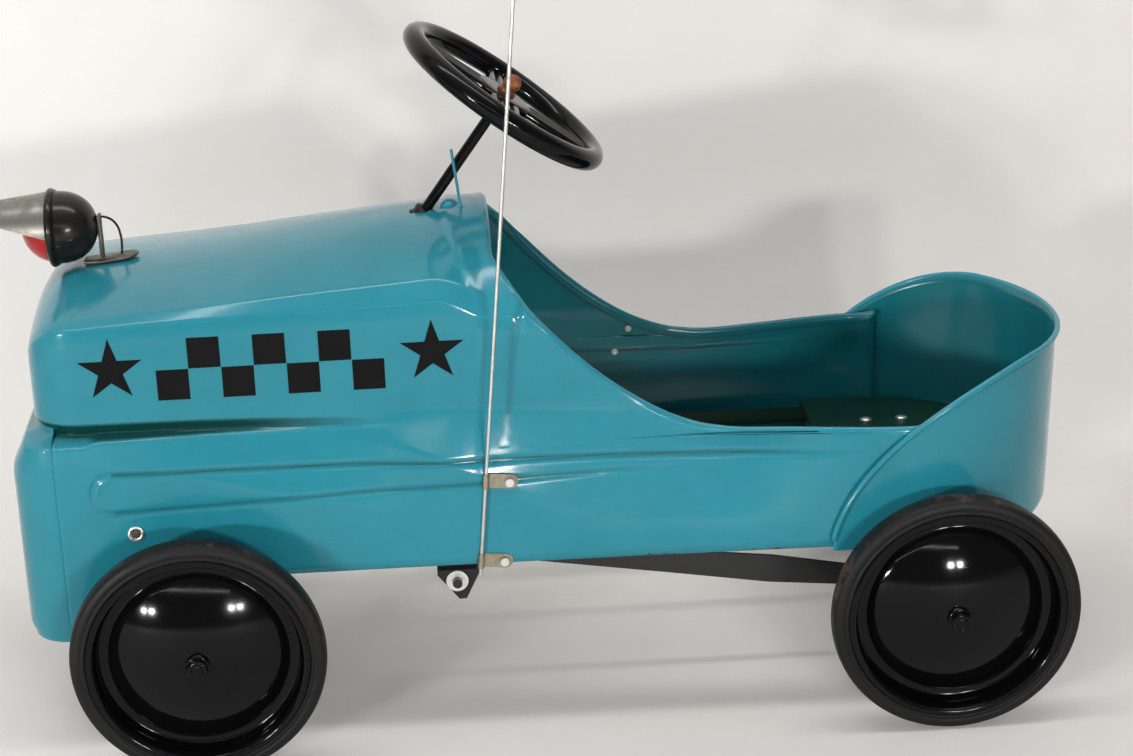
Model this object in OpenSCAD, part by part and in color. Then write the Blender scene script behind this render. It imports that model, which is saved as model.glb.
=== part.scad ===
// Pedal car: pressed steel body on four disc wheels, with tie-rod steering and crank drive.
// Millimetres. Lengths along the car are taken from the front axle, heights from the floor,
// and the whole car is then moved so that the origin is under the middle of its box.

/* [Wheels] */
// Outside diameter of a tyre
tyre_d = 203; // [190:1:215]
// Width of a tyre
tyre_w = 22; // [18:1:26]
// Depth of rubber between the rim and the tread
tyre_depth = 17; // [13:1:20]
// Distance between the axles
wheelbase = 608; // [590:1:630]
// Width over the outer faces of the tyres
track_over = 373; // [369:1:385]
// Thickness of the pressed wheel disc
disc_t = 2; // [1.5:0.25:3]
// Diameter of the front spindles and the rear axle
axle_d = 10; // [8:0.5:12]
// Running clearance round a shaft, on the radius
run_gap = 0.05; // [0.03:0.01:0.1]
// Width across a hub nut
nut_w = 20; // [17:1:23]
// Height of a hub nut
nut_h = 10; // [8:1:13]

/* [Body] */
// Thickness of the body sheet
wall = 1.5; // [1:0.25:2.5]
// Width of the hood sides above the waist crease
upper_w = 236; // [228:1:242]
// Width of the front sides below the waist crease
lower_w = 262; // [256:1:268]
// Height of the sill above the floor
sill_z = 150; // [144:1:156]
// Height of the waist crease
waist_z = 284; // [276:1:292]
// Height of the hood over the nose
nose_z = 385; // [378:1:392]
// Height of the hood at the cockpit
cowl_z = 414; // [406:1:422]
// Upper nose, ahead of the front axle
nose_x = 122; // [116:1:128]
// Lower nose, ahead of the front axle
chin_x = 141; // [136:1:146]
// Height of the bottom of the nose
chin_z = 101; // [94:1:108]
// Rounding of the nose
nose_r = 40; // [34:1:44]
// Rear edge of the hood, behind the front axle
cowl_x = 246; // [238:1:254]
// Height of the cockpit edge beside the seat
rim_z = 247; // [242:1:254]
// Where the cockpit edge runs level, behind the front axle
rim_x = 450; // [440:1:462]
// Radius of the wheel arch
arch_r = 78; // [72:1:82]
// Diameter of the rolled edge round the cockpit
edge_d = 7; // [5:0.5:9]

/* [Tub] */
// Outside radius of the tub
tub_r = 146; // [143.5:0.5:148]
// How far the tub's centre is ahead of the rear axle
tub_ahead = 30; // [24:1:36]
// Height of the tub's back
tub_z = 292; // [284:1:300]
// Height of the tub's lower edge at the back
tub_low = 136; // [132:1:141]
// Length of the straight sides of the tub
tub_straight = 66; // [58:1:72]
// Diameter of the bead round the tub's upper edge
bead_d = 5; // [4:0.5:6]
// Height of the seat
seat_z = 170; // [166:1:176]
// Front edge of the seat, ahead of the rear axle
seat_ahead = 76; // [68:1:84]

/* [Steering] */
// Lean of the steering shaft from the vertical
shaft_lean = 36.5; // [34:0.5:39]
// Diameter of the steering shaft
shaft_d = 9; // [8:0.5:10]
// Outside diameter of the steering wheel
hand_d = 192; // [180:1:204]
// Diameter of the steering wheel's rim section
hand_t = 18; // [15:1:21]
// Distance from the hood to the steering wheel's centre, along the shaft
shaft_up = 115; // [105:1:122]
// Length of the steering shaft's foot
foot_l = 35; // [30:1:38]
// Length of the steering arms
arm_l = 50; // [46:1:54]
// Distance between the two kingpins
kingpin_gap = 236; // [228:1:238]
// Turn of the steering wheel each way, degrees
steer_turn = 21; // [15:0.5:21]

/* [Drive] */
// Throw of the cranked rear axle
crank_r = 30; // [26:1:33]
// Distance between the two crank pins
crank_gap = 100; // [92:1:108]
// Height of the pedals' centres over the floor
pedal_z = 130; // [124:1:138]
// Place of the pedal hanger shaft behind the front axle
hanger_x = 205; // [200:1:212]
// Length of a pedal arm between its centres
pedal_l = 196; // [190:1:202]
// Depth of a drive rod in its middle
rod_depth = 24; // [18:1:26]
// Thickness of the rods and pedal arms
strap_t = 4; // [3:0.5:5]
// Width of a pedal pad
pad_w = 58; // [48:1:60]

/* [Fittings] */
// Diameter of the lamp
lamp_d = 65; // [58:1:70]
// Height of the lamp's centre over the hood
lamp_up = 31; // [29:1:36]
// Height of the top of the antenna
mast_z = 780; // [680:5:840]
// Diameter of the antenna
mast_d = 3; // [2.5:0.5:4]

/* [Hidden] */
$fn = 48;
teal = "#2f8f9a";
deep_green = "#12382f";
gloss_black = "#101012";
fit_gap = 0.3; // room between neighbouring flat or curved faces that don't rub

// Wheels and axles
axle_z = tyre_d / 2;
axle_r = axle_d / 2;
hub_r = axle_r + 4;
rim_r = tyre_d / 2 - tyre_depth;
wheel_y = track_over / 2 - tyre_w / 2;
hub_out = tyre_w / 2 + 3;
hub_in = -tyre_w / 2 - 6;
nut_start = wheel_y + hub_out + 0.4;

// Body reference lines
upper_y = upper_w / 2;
lower_y = lower_w / 2;
nose_c = -nose_x + nose_r;
seam_angle = 35;
seam_x = nose_c - nose_r * sin(seam_angle);
tub_cx = wheelbase - tub_ahead;
tub_front = tub_cx - tub_straight;
body_end = tub_cx + 22;
in_tub_y = tub_r - wall - fit_gap; // the sides end inside the tub
rim_rise = 119; // height that the cockpit edge climbs from the side to the cowl
rim_steep = (rim_x - (cowl_x + 19)) / sqrt(rim_rise);
bead_r = bead_d / 2;

function clamp(t) = min(1, max(0, t));
function ease(t) = let(c = clamp(t)) c * c * (3 - 2 * c);
function mix(a, b, t) = a + (b - a) * t;
function unit(v) = v / norm(v);

// Height of the hood's centre line, and the radius of its crown, at a place along the car
function hood_z(x) = mix(nose_z, cowl_z, clamp((x + 77) / (cowl_x + 77)));
function crown_r(x) = mix(430, 232, ease((x + 100) / 295)) - 86 * ease((x - 195) / 50);
function shoulder_1(x) = hood_z(x) - crown_r(x) + sqrt(pow(crown_r(x), 2) - pow(upper_y - 12, 2));
function shoulder_2(x) = shoulder_1(x) - mix(5, 15, ease((x + 100) / 320));

// How much the end of the side is drawn in, where the tub round it bends inwards
function tail_in(x) = let(d = max(0, x - tub_cx)) in_tub_y - sqrt(in_tub_y * in_tub_y - d * d) + d / 7;

// Half-width of the side at a height: vertical over the waist, then bulging to the sill
function side_top(x) = mix(upper_y, in_tub_y, ease((x - rim_x + 30) / (body_end - rim_x + 20)));
function side_low(x) = mix(lower_y, in_tub_y, pow(clamp((x - seam_x) / (tub_front + 48 - seam_x)), 2));
function bulge_z(x) = mix(waist_z - 24, sill_z + 12, ease((x - 120) / 250));
function crease(x, z) = 2.5 * (1 - ease((x - 150) / 70)) * max(0, 1 - abs(z - waist_z + 3) / 8);
function side_y(x, z) =
    mix(side_low(x), side_top(x), ease((z - bulge_z(x)) / (waist_z - 2 - bulge_z(x))))
    - crease(x, z) - tail_in(x);

// Bottom edge of the side: low at the nose, over the wheel arch, then along the sill
function arch_top(x) = abs(x) < arch_r ? axle_z + sqrt(arch_r * arch_r - x * x) : 0;
function bottom_z(x) = max(x < 0 ? chin_z : sill_z, arch_top(x));

// Levels of the half section: five up to the cockpit edge, then heights, then the crown
rim_levels = [0.6, 2.5, 6.5, 13, 22, 30];
side_levels = [waist_z, waist_z + 12, waist_z + 34];
crown_parts = [0.85, 0.68, 0.51, 0.34, 0.17, 0];
waist_k = 5 + len(rim_levels);
crown_k = waist_k + len(side_levels);
top_k = crown_k + 2 + len(crown_parts);

function level(x, k) =
    k < 5 ? let(z = mix(bottom_z(x), rim_z, k / 4)) [side_y(x, z), z]
    : k < waist_k ? let(z = rim_z + rim_levels[k - 5]) [side_y(x, z), z]
    : k < crown_k ? let(z = side_levels[k - waist_k]) [side_y(x, z), z]
    : k == crown_k ? [side_top(x), shoulder_2(x) - 14]
    : k == crown_k + 1 ? [upper_y - 2, shoulder_2(x)]
    : k == crown_k + 2 ? [upper_y - 12, shoulder_1(x)]
    : let(y = upper_y * crown_parts[k - crown_k - 3], r = crown_r(x))
        [y, hood_z(x) - r + sqrt(r * r - y * y)];

// The body shell as rows along the car and columns round the half section, mirrored
inset_angles = [90, 76, 62, 48, seam_angle, 22, 10];
arch_sill = asin((sill_z - axle_z) / arch_r);
arch_angles = [176, 155, 130, 105, 80, 55, arch_sill];
front_rows = concat([for (a = arch_angles) arch_r * cos(a)], [95, 130, 165, 200, 226, cowl_x - 8]);
rear_parts = [for (i = [1 : 14]) i / 14];

function row_end(k) =
    k < 5 ? body_end
    : max(cowl_x, rim_x - rim_steep * sqrt(level(cowl_x, k)[1] - rim_z));
function nose_point(a, k) =
    let(p = level(nose_c, k), d = nose_r * (1 - cos(a)), x = nose_c - nose_r * sin(a))
    k < waist_k ? [x, level(x, k)[0] - (a > seam_angle ? d : 0), p[1]]
    : let(top = level(nose_c, top_k)[1], w = (p[1] - waist_z) / (top - waist_z))
        [x, p[0] * (1 - d / upper_y), p[1] - d * w];
function half_point(i, k) =
    i < len(inset_angles) ? nose_point(inset_angles[i], k)
    : let(m = i - len(inset_angles))
        m < len(front_rows) ? let(x = front_rows[m], p = level(x, k)) [x, p[0], p[1]]
        : let(x = mix(cowl_x - 8, row_end(k), rear_parts[m - len(front_rows)]), p = level(x, k))
            [x, p[0], p[1]];
function full_point(i, j, top) =
    let(p = half_point(i, j <= top ? j : 2 * top - j)) [p[0], (j <= top ? -1 : 1) * p[1], p[2]];

shell_rows = len(inset_angles) + len(front_rows) + len(rear_parts);
shell_cols = 2 * top_k + 1;
shell_out = [for (i = [0 : shell_rows - 1]) [for (j = [0 : shell_cols - 1]) full_point(i, j, top_k)]];

// The inner skin of a sheet: each point moved inwards by the wall, square to its neighbours
function normal(g, i, j) =
    let(r = len(g) - 1, c = len(g[0]) - 1)
    unit(cross(g[min(i + 1, r)][j] - g[max(i - 1, 0)][j], g[i][min(j + 1, c)] - g[i][max(j - 1, 0)]));
function inner_skin(g, t) =
    [for (i = [0 : len(g) - 1]) [for (j = [0 : len(g[0]) - 1]) g[i][j] - t * normal(g, i, j)]];

function quad(a, b, c, d) = [[a, b, c], [a, c, d]];

// Faces of a sheet with an outer and an inner grid; has(i, j) tells which cells are metal.
// cap is the first and last column of a front that two more points close, or undef.
function sheet_faces(rows, cols, has, cap) =
    let(n = rows * cols, o = 2 * n)
    concat(
        [for (i = [0 : rows - 2], j = [0 : cols - 2]) if (has(i, j))
            let(a = i * cols + j, b = a + cols, c = b + 1, d = a + 1)
            each concat(
                quad(a, d, c, b),
                quad(a + n, b + n, c + n, d + n),
                j == 0 || !has(i, j - 1) ? quad(a, b, b + n, a + n) : [],
                j == cols - 2 || !has(i, j + 1) ? quad(c, d, d + n, c + n) : [],
                (i == 0 && is_undef(cap)) || (i > 0 && !has(i - 1, j)) ? quad(d, a, a + n, d + n) : [],
                i == rows - 2 || !has(i + 1, j) ? quad(b, c, c + n, b + n) : [])],
        is_undef(cap) ? [] : concat(
            [for (j = [cap[0] : cap[1] - 1]) each [[j + 1, j, o], [j + n, j + 1 + n, o + 1]]],
            quad(o, cap[0], cap[0] + n, o + 1),
            quad(cap[1], o, o + 1, cap[1] + n)));

module sheet(outer, t, has, cap = undef, apex = [0, 0, 0]) {
    inner = inner_skin(outer, t);
    rows = len(outer);
    cols = len(outer[0]);
    points = concat([for (r = outer) each r], [for (r = inner) each r],
        is_undef(cap) ? [] : [apex, apex + [t, 0, 0]]);
    polyhedron(points, sheet_faces(rows, cols, has, cap));
}

// A tube along points, its rings turned to face away from a middle point
module tube(path, r, middle, sides = 8) {
    last = len(path) - 1;
    rings = [for (i = [0 : last])
        let(t = unit(path[min(i + 1, last)] - path[max(i - 1, 0)]),
            ref = path[i] - middle,
            u = unit(ref - (ref * t) * t),
            w = cross(t, u))
        for (s = [0 : sides - 1]) path[i] + r * (cos(360 * s / sides) * u + sin(360 * s / sides) * w)];
    polyhedron(rings, concat(
        [for (i = [0 : last - 1], s = [0 : sides - 1])
            let(a = i * sides + s, b = i * sides + (s + 1) % sides)
            each quad(a, a + sides, b + sides, b)],
        [[for (s = [0 : sides - 1]) s], [for (s = [sides - 1 : -1 : 0]) last * sides + s]]));
}

// The whole car is moved so that the origin is under the middle of its box
visor_tip = -nose_x - 44;
tub_back = tub_cx + tub_r - wall + bead_d;
module place() { translate([-(visor_tip + tub_back) / 2, 0, 0]) children(); }
module both_sides() {
    children();
    mirror([0, 1, 0]) children();
}
module side(s) { mirror([0, s > 0 ? 1 : 0, 0]) children(); } // drawn on the left, s = 1 puts it right
// A cylinder across the car: from y0 to y1 at a place
module across(x, z, r, y0, y1) {
    translate([x, y0, z]) rotate([-90, 0, 0]) cylinder(r = r, h = y1 - y0);
}
module box(a, b) { translate(a) cube(b - a); }

// Steering shaft line: lean from the vertical, through the hood
lean_dir = [sin(shaft_lean), 0, cos(shaft_lean)];
foot_dir = [cos(shaft_lean), 0, -sin(shaft_lean)];
hole_x = cowl_x - 47;
hole_at = [hole_x, 0, hood_z(hole_x)];
heel_x = arm_l - foot_l * cos(shaft_lean);
heel_drop = (hole_x - heel_x) / sin(shaft_lean);
heel_at = hole_at - heel_drop * lean_dir;
hand_at = hole_at + shaft_up * lean_dir;
shaft_r = shaft_d / 2;
module along_shaft(at) { translate(at) rotate([0, shaft_lean, 0]) children(); }

bolt_x = -45;
cross_z = heel_at[2] + 13.5; // room for the bush over the shaft's heel
bolt_z = cross_z + 9;
screw_spots = [[374, 255], [362, 232]];
cross_y = side_y(bolt_x, bolt_z) - wall - fit_gap;

module body_shell() color(teal) place() difference() {
    sheet(shell_out, wall,
        function(i, j) i >= 4 || (j >= waist_k && j < 2 * top_k - waist_k),
        [waist_k, 2 * top_k - waist_k], [-nose_x, 0, shell_out[0][waist_k][2]]);
    along_shaft(hole_at - 16 * lean_dir) cylinder(r = shaft_r + 4, h = 32);
    both_sides() across(bolt_x, bolt_z, 3 + run_gap, -lower_y - 5, -lower_y + 12);
    for (p = screw_spots) across(p[0], p[1], 2 + run_gap, upper_y - 20, lower_y + 12);
}

// Rolled edge round the cockpit: level beside the seat, up the sides and over the hood,
// with the roll on the inner side of the sheet
edge_r = edge_d / 2;
rim_tail = [for (i = [0 : 6])
    let(x = mix(body_end, rim_x, i / 6)) [x, -side_y(x, rim_z) + edge_r, rim_z]];
rim_corner_z = shoulder_2(cowl_x) - 14;
rim_climb = [for (i = [1 : 9])
    let(z = rim_z + rim_rise * pow(i / 9, 2), x = rim_x - rim_steep * sqrt(z - rim_z))
    [x, -side_y(x, min(z, rim_corner_z)) + edge_r + max(0, z - rim_corner_z) / 6, z]];
rim_crown = [for (f = [0.85, 0.68, 0.51, 0.34, 0.17])
    let(y = upper_y * f, r = crown_r(cowl_x))
    [cowl_x, -y, hood_z(cowl_x) - r + sqrt(r * r - y * y) - edge_r]];
rim_left = concat(rim_tail, rim_climb, rim_crown);
function flip(p) = [p[0], -p[1], p[2]];
function both_ways(left, top) = concat(left, top, [for (i = [len(left) - 1 : -1 : 0]) flip(left[i])]);
module cockpit_edge() color(teal) place()
    tube(both_ways(rim_left, [[cowl_x, 0, hood_z(cowl_x) - edge_r]]), edge_r, [rim_x, 0, 300]);

// Lower nose: a pressing wrapped round both front corners. Under the waist it steps in and ends in
// a tongue behind the nose of the hood sheet.
function nose_at(z) = -mix(chin_x, nose_x + 3, ease((z - 240) / (waist_z - 240)))
    + 4 * (1 - ease((z - chin_z) / 10));
panel_heights = concat(
    [for (h = [0, 4, 12, 29, 37, 74, 114]) chin_z + h],
    [for (h = [44, 29, 16, 8]) waist_z - h]);
tongue_heights = [waist_z - 4, waist_z + 8];
tongue_r = nose_r - wall - 2 * fit_gap;
tongue_start = asin((nose_c - seam_x) / tongue_r);
panel_turns = 7; // points round a corner
panel_half = panel_turns + 4;
function face_point(i, z) =
    let(w = side_y(seam_x, z) + 0.2, x = nose_at(z), r = min(nose_r - 3, seam_x - x),
        a = 90 * (i - 1) / (panel_turns - 1))
    i == 0 ? [seam_x - 0.4, -w, z]
    : i <= panel_turns ? [x + r - r * sin(a), -w + r - r * cos(a), z]
    : [x, (-w + r) * (1 - (i - panel_turns) / 4), z];
function tongue_point(i, z) =
    let(w = side_y(seam_x, waist_z) - nose_r, a = mix(tongue_start, 90, min(1, i / panel_turns)))
    [nose_c - tongue_r * sin(a), -(w + tongue_r * cos(a)) * (1 - max(0, i - panel_turns) / 4), z];
function panel_row(row) = [for (i = [0 : 2 * panel_half])
    let(p = i <= panel_half ? row(i) : row(2 * panel_half - i)) i <= panel_half ? p : flip(p)];
panel_grid = concat(
    [for (z = panel_heights) panel_row(function(i) face_point(i, z))],
    [for (z = tongue_heights) panel_row(function(i) tongue_point(i, z))]);
module front_panel() color(teal) place()
    sheet(panel_grid, wall, function(i, j) true);

// Tub: straight sides and a half round back, cut along a rising front edge
tub_bend = 20;
function tub_rim(x) =
    sill_z + (tub_z - sill_z) * pow(1 - pow(clamp((tub_cx + 106 - x) / 172), 1.62), 1 / 1.62);
function tub_base(x) = mix(sill_z - 2, tub_low, ease((x - tub_front - 20) / 130));
function tub_path(i) =
    i < 7 ? [tub_front + 1 + (tub_straight - 1) * i / 7, -tub_r, 0]
    : let(a = 180 * (i - 7) / tub_bend)
        [tub_cx + tub_r * sin(a), -tub_r * cos(a), sin(a)];
tub_count = tub_bend + 14;
function tub_plan(i) = i <= 7 + tub_bend ? tub_path(i) : flip(tub_path(tub_count - i));
function tub_point(i, f) =
    let(p = tub_plan(i), z = mix(tub_base(p[0]), tub_rim(p[0]), f),
        h = z - tub_base(p[0]),
        roll = h < 12 ? 12 - sqrt(144 - pow(12 - h, 2)) : 0,
        lean = p[2] * (5 * (1 - f) + roll),
        k = (tub_r - lean) / tub_r)
    [p[0] > tub_cx ? tub_cx + (p[0] - tub_cx) * k : p[0], p[1] * k, z];
tub_parts = [0, 0.03, 0.08, 0.3, 0.6, 0.85, 1];
tub_grid = [for (i = [0 : tub_count]) [for (f = tub_parts) tub_point(i, f)]];
module rear_tub() color(teal) place() sheet(tub_grid, wall, function(i, j) true);
// A point of the tub moved outwards, square to its wall
function tub_out(p, d) =
    let(v = [max(0, p[0] - tub_cx), p[1]], k = 1 + d / norm(v)) [p[0] + v[0] * (k - 1), p[1] * k, p[2]];
module tub_edge() color(teal) place()
    tube([for (r = tub_grid) tub_out(r[len(tub_parts) - 1], bead_r - wall)], bead_r, [tub_cx - 30, 0, 190]);

// Seat: a flat pan that lies on the chassis rails, with a lip down in front
seat_front = wheelbase - seat_ahead;
seat_screws_at = [for (x = [seat_front + 50, seat_front + 82], y = [-80, 80]) [x, y]];
rail_top = seat_z - 2;
rail_out = cross_y - fit_gap;
seat_half = side_y(seat_front, seat_z) - wall - 3 * fit_gap;
module seat() color(deep_green) place() difference() {
    union() {
        translate([0, 0, seat_z - 2]) linear_extrude(2) union() {
            translate([seat_front, -seat_half]) square([tub_cx - seat_front, 2 * seat_half]);
            translate([tub_cx, 0]) intersection() {
                circle(r = tub_r - wall - 7, $fn = 96);
                translate([0, -tub_r]) square([tub_r, 2 * tub_r]);
            }
        }
        box([seat_front, -foot_in + fit_gap, sill_z + 4], [seat_front + 2, foot_in - fit_gap, seat_z]);
    }
    for (p = seat_screws_at) translate([p[0], p[1], seat_z]) {
        translate([0, 0, -5]) cylinder(r = 2.6, h = 10);
        translate([0, 0, -2.1]) cylinder(r1 = 2.6, r2 = 5.3, h = 2.2);
    }
}
module seat_screws() color("lightgray") place() for (p = seat_screws_at)
    translate([p[0], p[1], seat_z]) {
        translate([0, 0, -2]) cylinder(r1 = 2.5, r2 = 5, h = 2);
        translate([0, 0, -9]) cylinder(r = 2.5, h = 8);
        translate([0, 0, -8]) cylinder(r = 5, h = 6, $fn = 6);
    }

// Chassis: two angle rails whose feet reach out to the sides, a plate across the front,
// the axle beam hung under it
rail_end = wheelbase + 28;
foot_in = rail_out - 9;
foot_xs = [for (i = [0 : 8]) mix(arch_r + 6, tub_front + 40, i / 8)];
foot_edge = [for (x = foot_xs) [x, -(side_y(x, sill_z + 2) - wall - fit_gap)]];
module chassis_rail(s) color(gloss_black) place() side(s) difference() {
    union() {
        box([bolt_x - 12, -rail_out, sill_z], [rail_end, -rail_out + 3, rail_top]);
        translate([0, 0, sill_z]) linear_extrude(3)
            polygon(concat(foot_edge, [[rail_end, -rail_out], [rail_end, -foot_in], [arch_r + 6, -foot_in]]));
    }
    box([-arch_r - 4, -rail_out - 1, sill_z - 1], [arch_r + 4, -rail_out + 4, rail_top + 1]);
}
module chassis_rail_left() chassis_rail(-1);
module chassis_rail_right() chassis_rail(1);

cross_t = 3;
cross_back = arch_r + 14;
cross_front = bolt_x - 15;
flange_h = cross_t + 19;
bush_r = shaft_r + 5;
module front_cross_member() color(gloss_black) place() difference() {
    union() {
        box([cross_front, -cross_y, cross_z], [cross_back, cross_y, cross_z + cross_t]);
        both_sides() box([cross_front, -cross_y, cross_z],
            [cross_back, -cross_y + cross_t, cross_z + flange_h]);
        both_sides() box([arch_r + 4, -rail_out + 3, sill_z + 3], [cross_back, -rail_out + 6, cross_z + 1]);
    }
    along_shaft(hole_at - heel_drop * lean_dir) cylinder(r = bush_r, h = 60);
    both_sides() across(bolt_x, bolt_z, 3 + run_gap, -cross_y - 2, -cross_y + 6);
}

kingpin_y = kingpin_gap / 2;
kingpin_r = 4;
barrel_r = 9;
barrel_low = axle_z - 13;
barrel_top = axle_z + 30;
ear_t = 5;
module ear(z) {
    box([-9, -kingpin_y, z], [9, -kingpin_y + 18, z + ear_t]);
    translate([0, -kingpin_y, z]) cylinder(r = 9, h = ear_t);
}
module front_axle_beam() color(gloss_black) place() {
    box([-6, -kingpin_y + 14, axle_z - 6], [6, kingpin_y - 14, axle_z + 6]);
    both_sides() difference() {
        union() {
            ear(barrel_top + fit_gap);
            ear(barrel_low - fit_gap - ear_t);
            box([-9, -kingpin_y + 12, barrel_low - fit_gap - ear_t],
                [9, -kingpin_y + 18, barrel_top + fit_gap + ear_t]);
        }
        translate([0, -kingpin_y, barrel_low - 20]) cylinder(r = kingpin_r, h = 90);
    }
    both_sides() box([-12, -74, axle_z], [12, -68, cross_z]);
}
module kingpins() color("dimgray") place() both_sides() translate([0, -kingpin_y, barrel_low - 8]) {
    cylinder(r = kingpin_r, h = barrel_top - barrel_low + 16);
    translate([0, 0, barrel_top - barrel_low + 8 + fit_gap + ear_t]) cylinder(r = 6.5, h = 3);
}

// Steering: knuckles, tie rod, and the bent shaft that works it through a fork
arm_z = axle_z + 22.5;
link_t = 5;
link_pin_r = 3;
module knuckle(s) color(gloss_black) place() side(s) difference() {
    union() {
        translate([0, -kingpin_y, barrel_low]) cylinder(r = barrel_r, h = barrel_top - barrel_low);
        across(0, axle_z, axle_r, -nut_start - nut_h + 1, -kingpin_y - 6);
        across(0, axle_z, hub_r, -wheel_y - hub_in + fit_gap, -kingpin_y - 6);
        translate([0, -kingpin_y, arm_z]) linear_extrude(link_t) {
            translate([0, -6]) square([arm_l, 12]);
            translate([arm_l, 0]) circle(r = 7);
        }
        translate([arm_l, -kingpin_y, arm_z - link_t - 3]) cylinder(r = link_pin_r, h = link_t + 4);
    }
    translate([0, -kingpin_y, barrel_low - 1]) cylinder(r = kingpin_r + run_gap, h = 60);
}
module knuckle_left() knuckle(-1);
module knuckle_right() knuckle(1);

// The foot ends in a ball between two cheeks; they leave room for the foot's sweep as it turns
foot_ball_r = shaft_r + 1.5;
foot_at = heel_at + foot_l * foot_dir;
fork_in = foot_ball_r + 0.8;
fork_half = 1.5 + foot_l * (1 - cos(steer_turn)) * cos(shaft_lean);
cheek_t = 4;
link_z = arm_z - fit_gap - link_t;
module tie_rod() color(gloss_black) place() difference() {
    union() {
        across(arm_l, link_z + link_t / 2, 4, -kingpin_y + 10, kingpin_y - 10);
        both_sides() translate([arm_l, -kingpin_y, link_z]) cylinder(r = 8, h = link_t);
        both_sides() box([arm_l - 4, -kingpin_y, link_z], [arm_l + 4, -kingpin_y + 14, link_z + link_t]);
        box([arm_l - 6, -fork_in - cheek_t, link_z - 1], [arm_l + 6, fork_in + cheek_t, link_z + 7]);
        both_sides() box([arm_l - fork_half, -fork_in - cheek_t, link_z],
            [arm_l + fork_half, -fork_in, foot_at[2] + foot_ball_r + 3]);
    }
    both_sides() translate([arm_l, -kingpin_y, link_z - 1])
        cylinder(r = link_pin_r + run_gap, h = link_t + 2);
}
module steering_shaft() color(gloss_black) place() {
    along_shaft(heel_at) cylinder(r = shaft_r, h = heel_drop + shaft_up + 12);
    translate(heel_at) sphere(r = shaft_r + 0.5);
    translate(heel_at) rotate([0, 90 + shaft_lean, 0]) cylinder(r = shaft_r, h = foot_l);
    translate(foot_at) sphere(r = foot_ball_r);
    along_shaft(hole_at - 70 * lean_dir) cylinder(r = shaft_r + 3, h = 4);
}
bush_at = heel_at + (cross_z + cross_t / 2 - heel_at[2]) / cos(shaft_lean) * lean_dir;
module column_bush() color("dimgray") place() along_shaft(bush_at) difference() {
    union() {
        translate([0, 0, -12]) cylinder(r = bush_r, h = 24);
        translate([0, 0, 10]) cylinder(r = bush_r + 3, h = 2);
    }
    translate([0, 0, -13]) cylinder(r = shaft_r + run_gap, h = 26);
}
module column_grommet() color(gloss_black) place() along_shaft(hole_at) difference() {
    union() {
        translate([0, 0, -7]) cylinder(r = shaft_r + 4 - run_gap, h = 13);
        translate([0, 0, -9]) cylinder(r = shaft_r + 6, h = 2);
    }
    translate([0, 0, -10]) cylinder(r = shaft_r + run_gap, h = 20);
}

// Steering wheel: thick round rim, a hub and four grooved spokes
hand_r = (hand_d - hand_t) / 2;
hub_disc_r = 26;
spoke_w = 28;
module steering_wheel_rim() color(gloss_black) place() along_shaft(hand_at)
    rotate_extrude($fn = 96) translate([hand_r, 0]) circle(r = hand_t / 2);
module steering_wheel_spokes() color(gloss_black) place() along_shaft(hand_at) difference() {
    union() {
        translate([0, 0, -7]) cylinder(r = hub_disc_r, h = 10);
        translate([0, 0, -16]) cylinder(r = 12, h = 12);
        for (a = [0 : 90 : 270]) rotate([0, 0, a])
            translate([0, -spoke_w / 2, -4]) cube([hand_r - hand_t / 2 + 1, spoke_w, 6]);
    }
    for (a = [0 : 90 : 270], y = [-6, 6]) rotate([0, 0, a])
        translate([hub_disc_r + 4, y - 2, 0]) cube([hand_r - hand_t / 2 - hub_disc_r - 10, 4, 4]);
    translate([0, 0, -20]) cylinder(r = shaft_r, h = 40);
}
module acorn_nut() color("saddlebrown") place() along_shaft(hand_at + 3 * lean_dir) difference() {
    union() {
        cylinder(r = 8.5, h = 5, $fn = 6);
        translate([0, 0, 9]) sphere(r = 7.5);
        cylinder(r = 6, h = 9);
    }
    translate([0, 0, -1]) cylinder(r = shaft_r, h = 11);
}

// Wheel disc: rim channel, pressed web with a dome, hub sleeve; in radius and distance outwards
dome_r = rim_r * 0.79;
dome_h = 12;
dome_arc = (dome_r * dome_r + dome_h * dome_h) / (2 * dome_h);
function dome_at(r, t) = [r, tyre_w / 2 + 2 - t + sqrt(pow(dome_arc, 2) - r * r) - dome_arc];
dome_steps = [for (i = [0 : 6]) mix(hub_r, dome_r, i / 6)];
module disc_profile() polygon(concat(
    [for (r = dome_steps) dome_at(r, 0)],
    [[dome_r + 4, -tyre_w / 2 + 7], [rim_r - 6, -tyre_w / 2 + 9], [rim_r - disc_t, tyre_w / 2 - 1]],
    [[rim_r - 1, tyre_w / 2 + 1], [rim_r + 4, tyre_w / 2 + 0.5], [rim_r + 4, tyre_w / 2 - 1]],
    [[rim_r, tyre_w / 2 - 1], [rim_r, -tyre_w / 2 + 1], [rim_r + 4, -tyre_w / 2 + 1]],
    [[rim_r + 4, -tyre_w / 2 - 0.5], [rim_r - disc_t, -tyre_w / 2 - 0.5]],
    [[rim_r - disc_t, 0], [rim_r - 7, -tyre_w / 2 + 7], [dome_r + 3, -tyre_w / 2 + 5]],
    [for (i = [6 : -1 : 0]) dome_at(dome_steps[i], disc_t)]));
module at_wheel(x, y) { place() translate([x, -y, axle_z]) rotate([90, 0, 0]) children(); }
module wheel_disc(x) color(gloss_black) at_wheel(x, wheel_y) difference() {
    union() {
        rotate_extrude($fn = 96) disc_profile();
        translate([0, 0, hub_in]) cylinder(r = hub_r, h = hub_out - hub_in);
    }
    translate([0, 0, hub_in - 1]) cylinder(r = axle_r + run_gap, h = hub_out - hub_in + 2);
}
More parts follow.
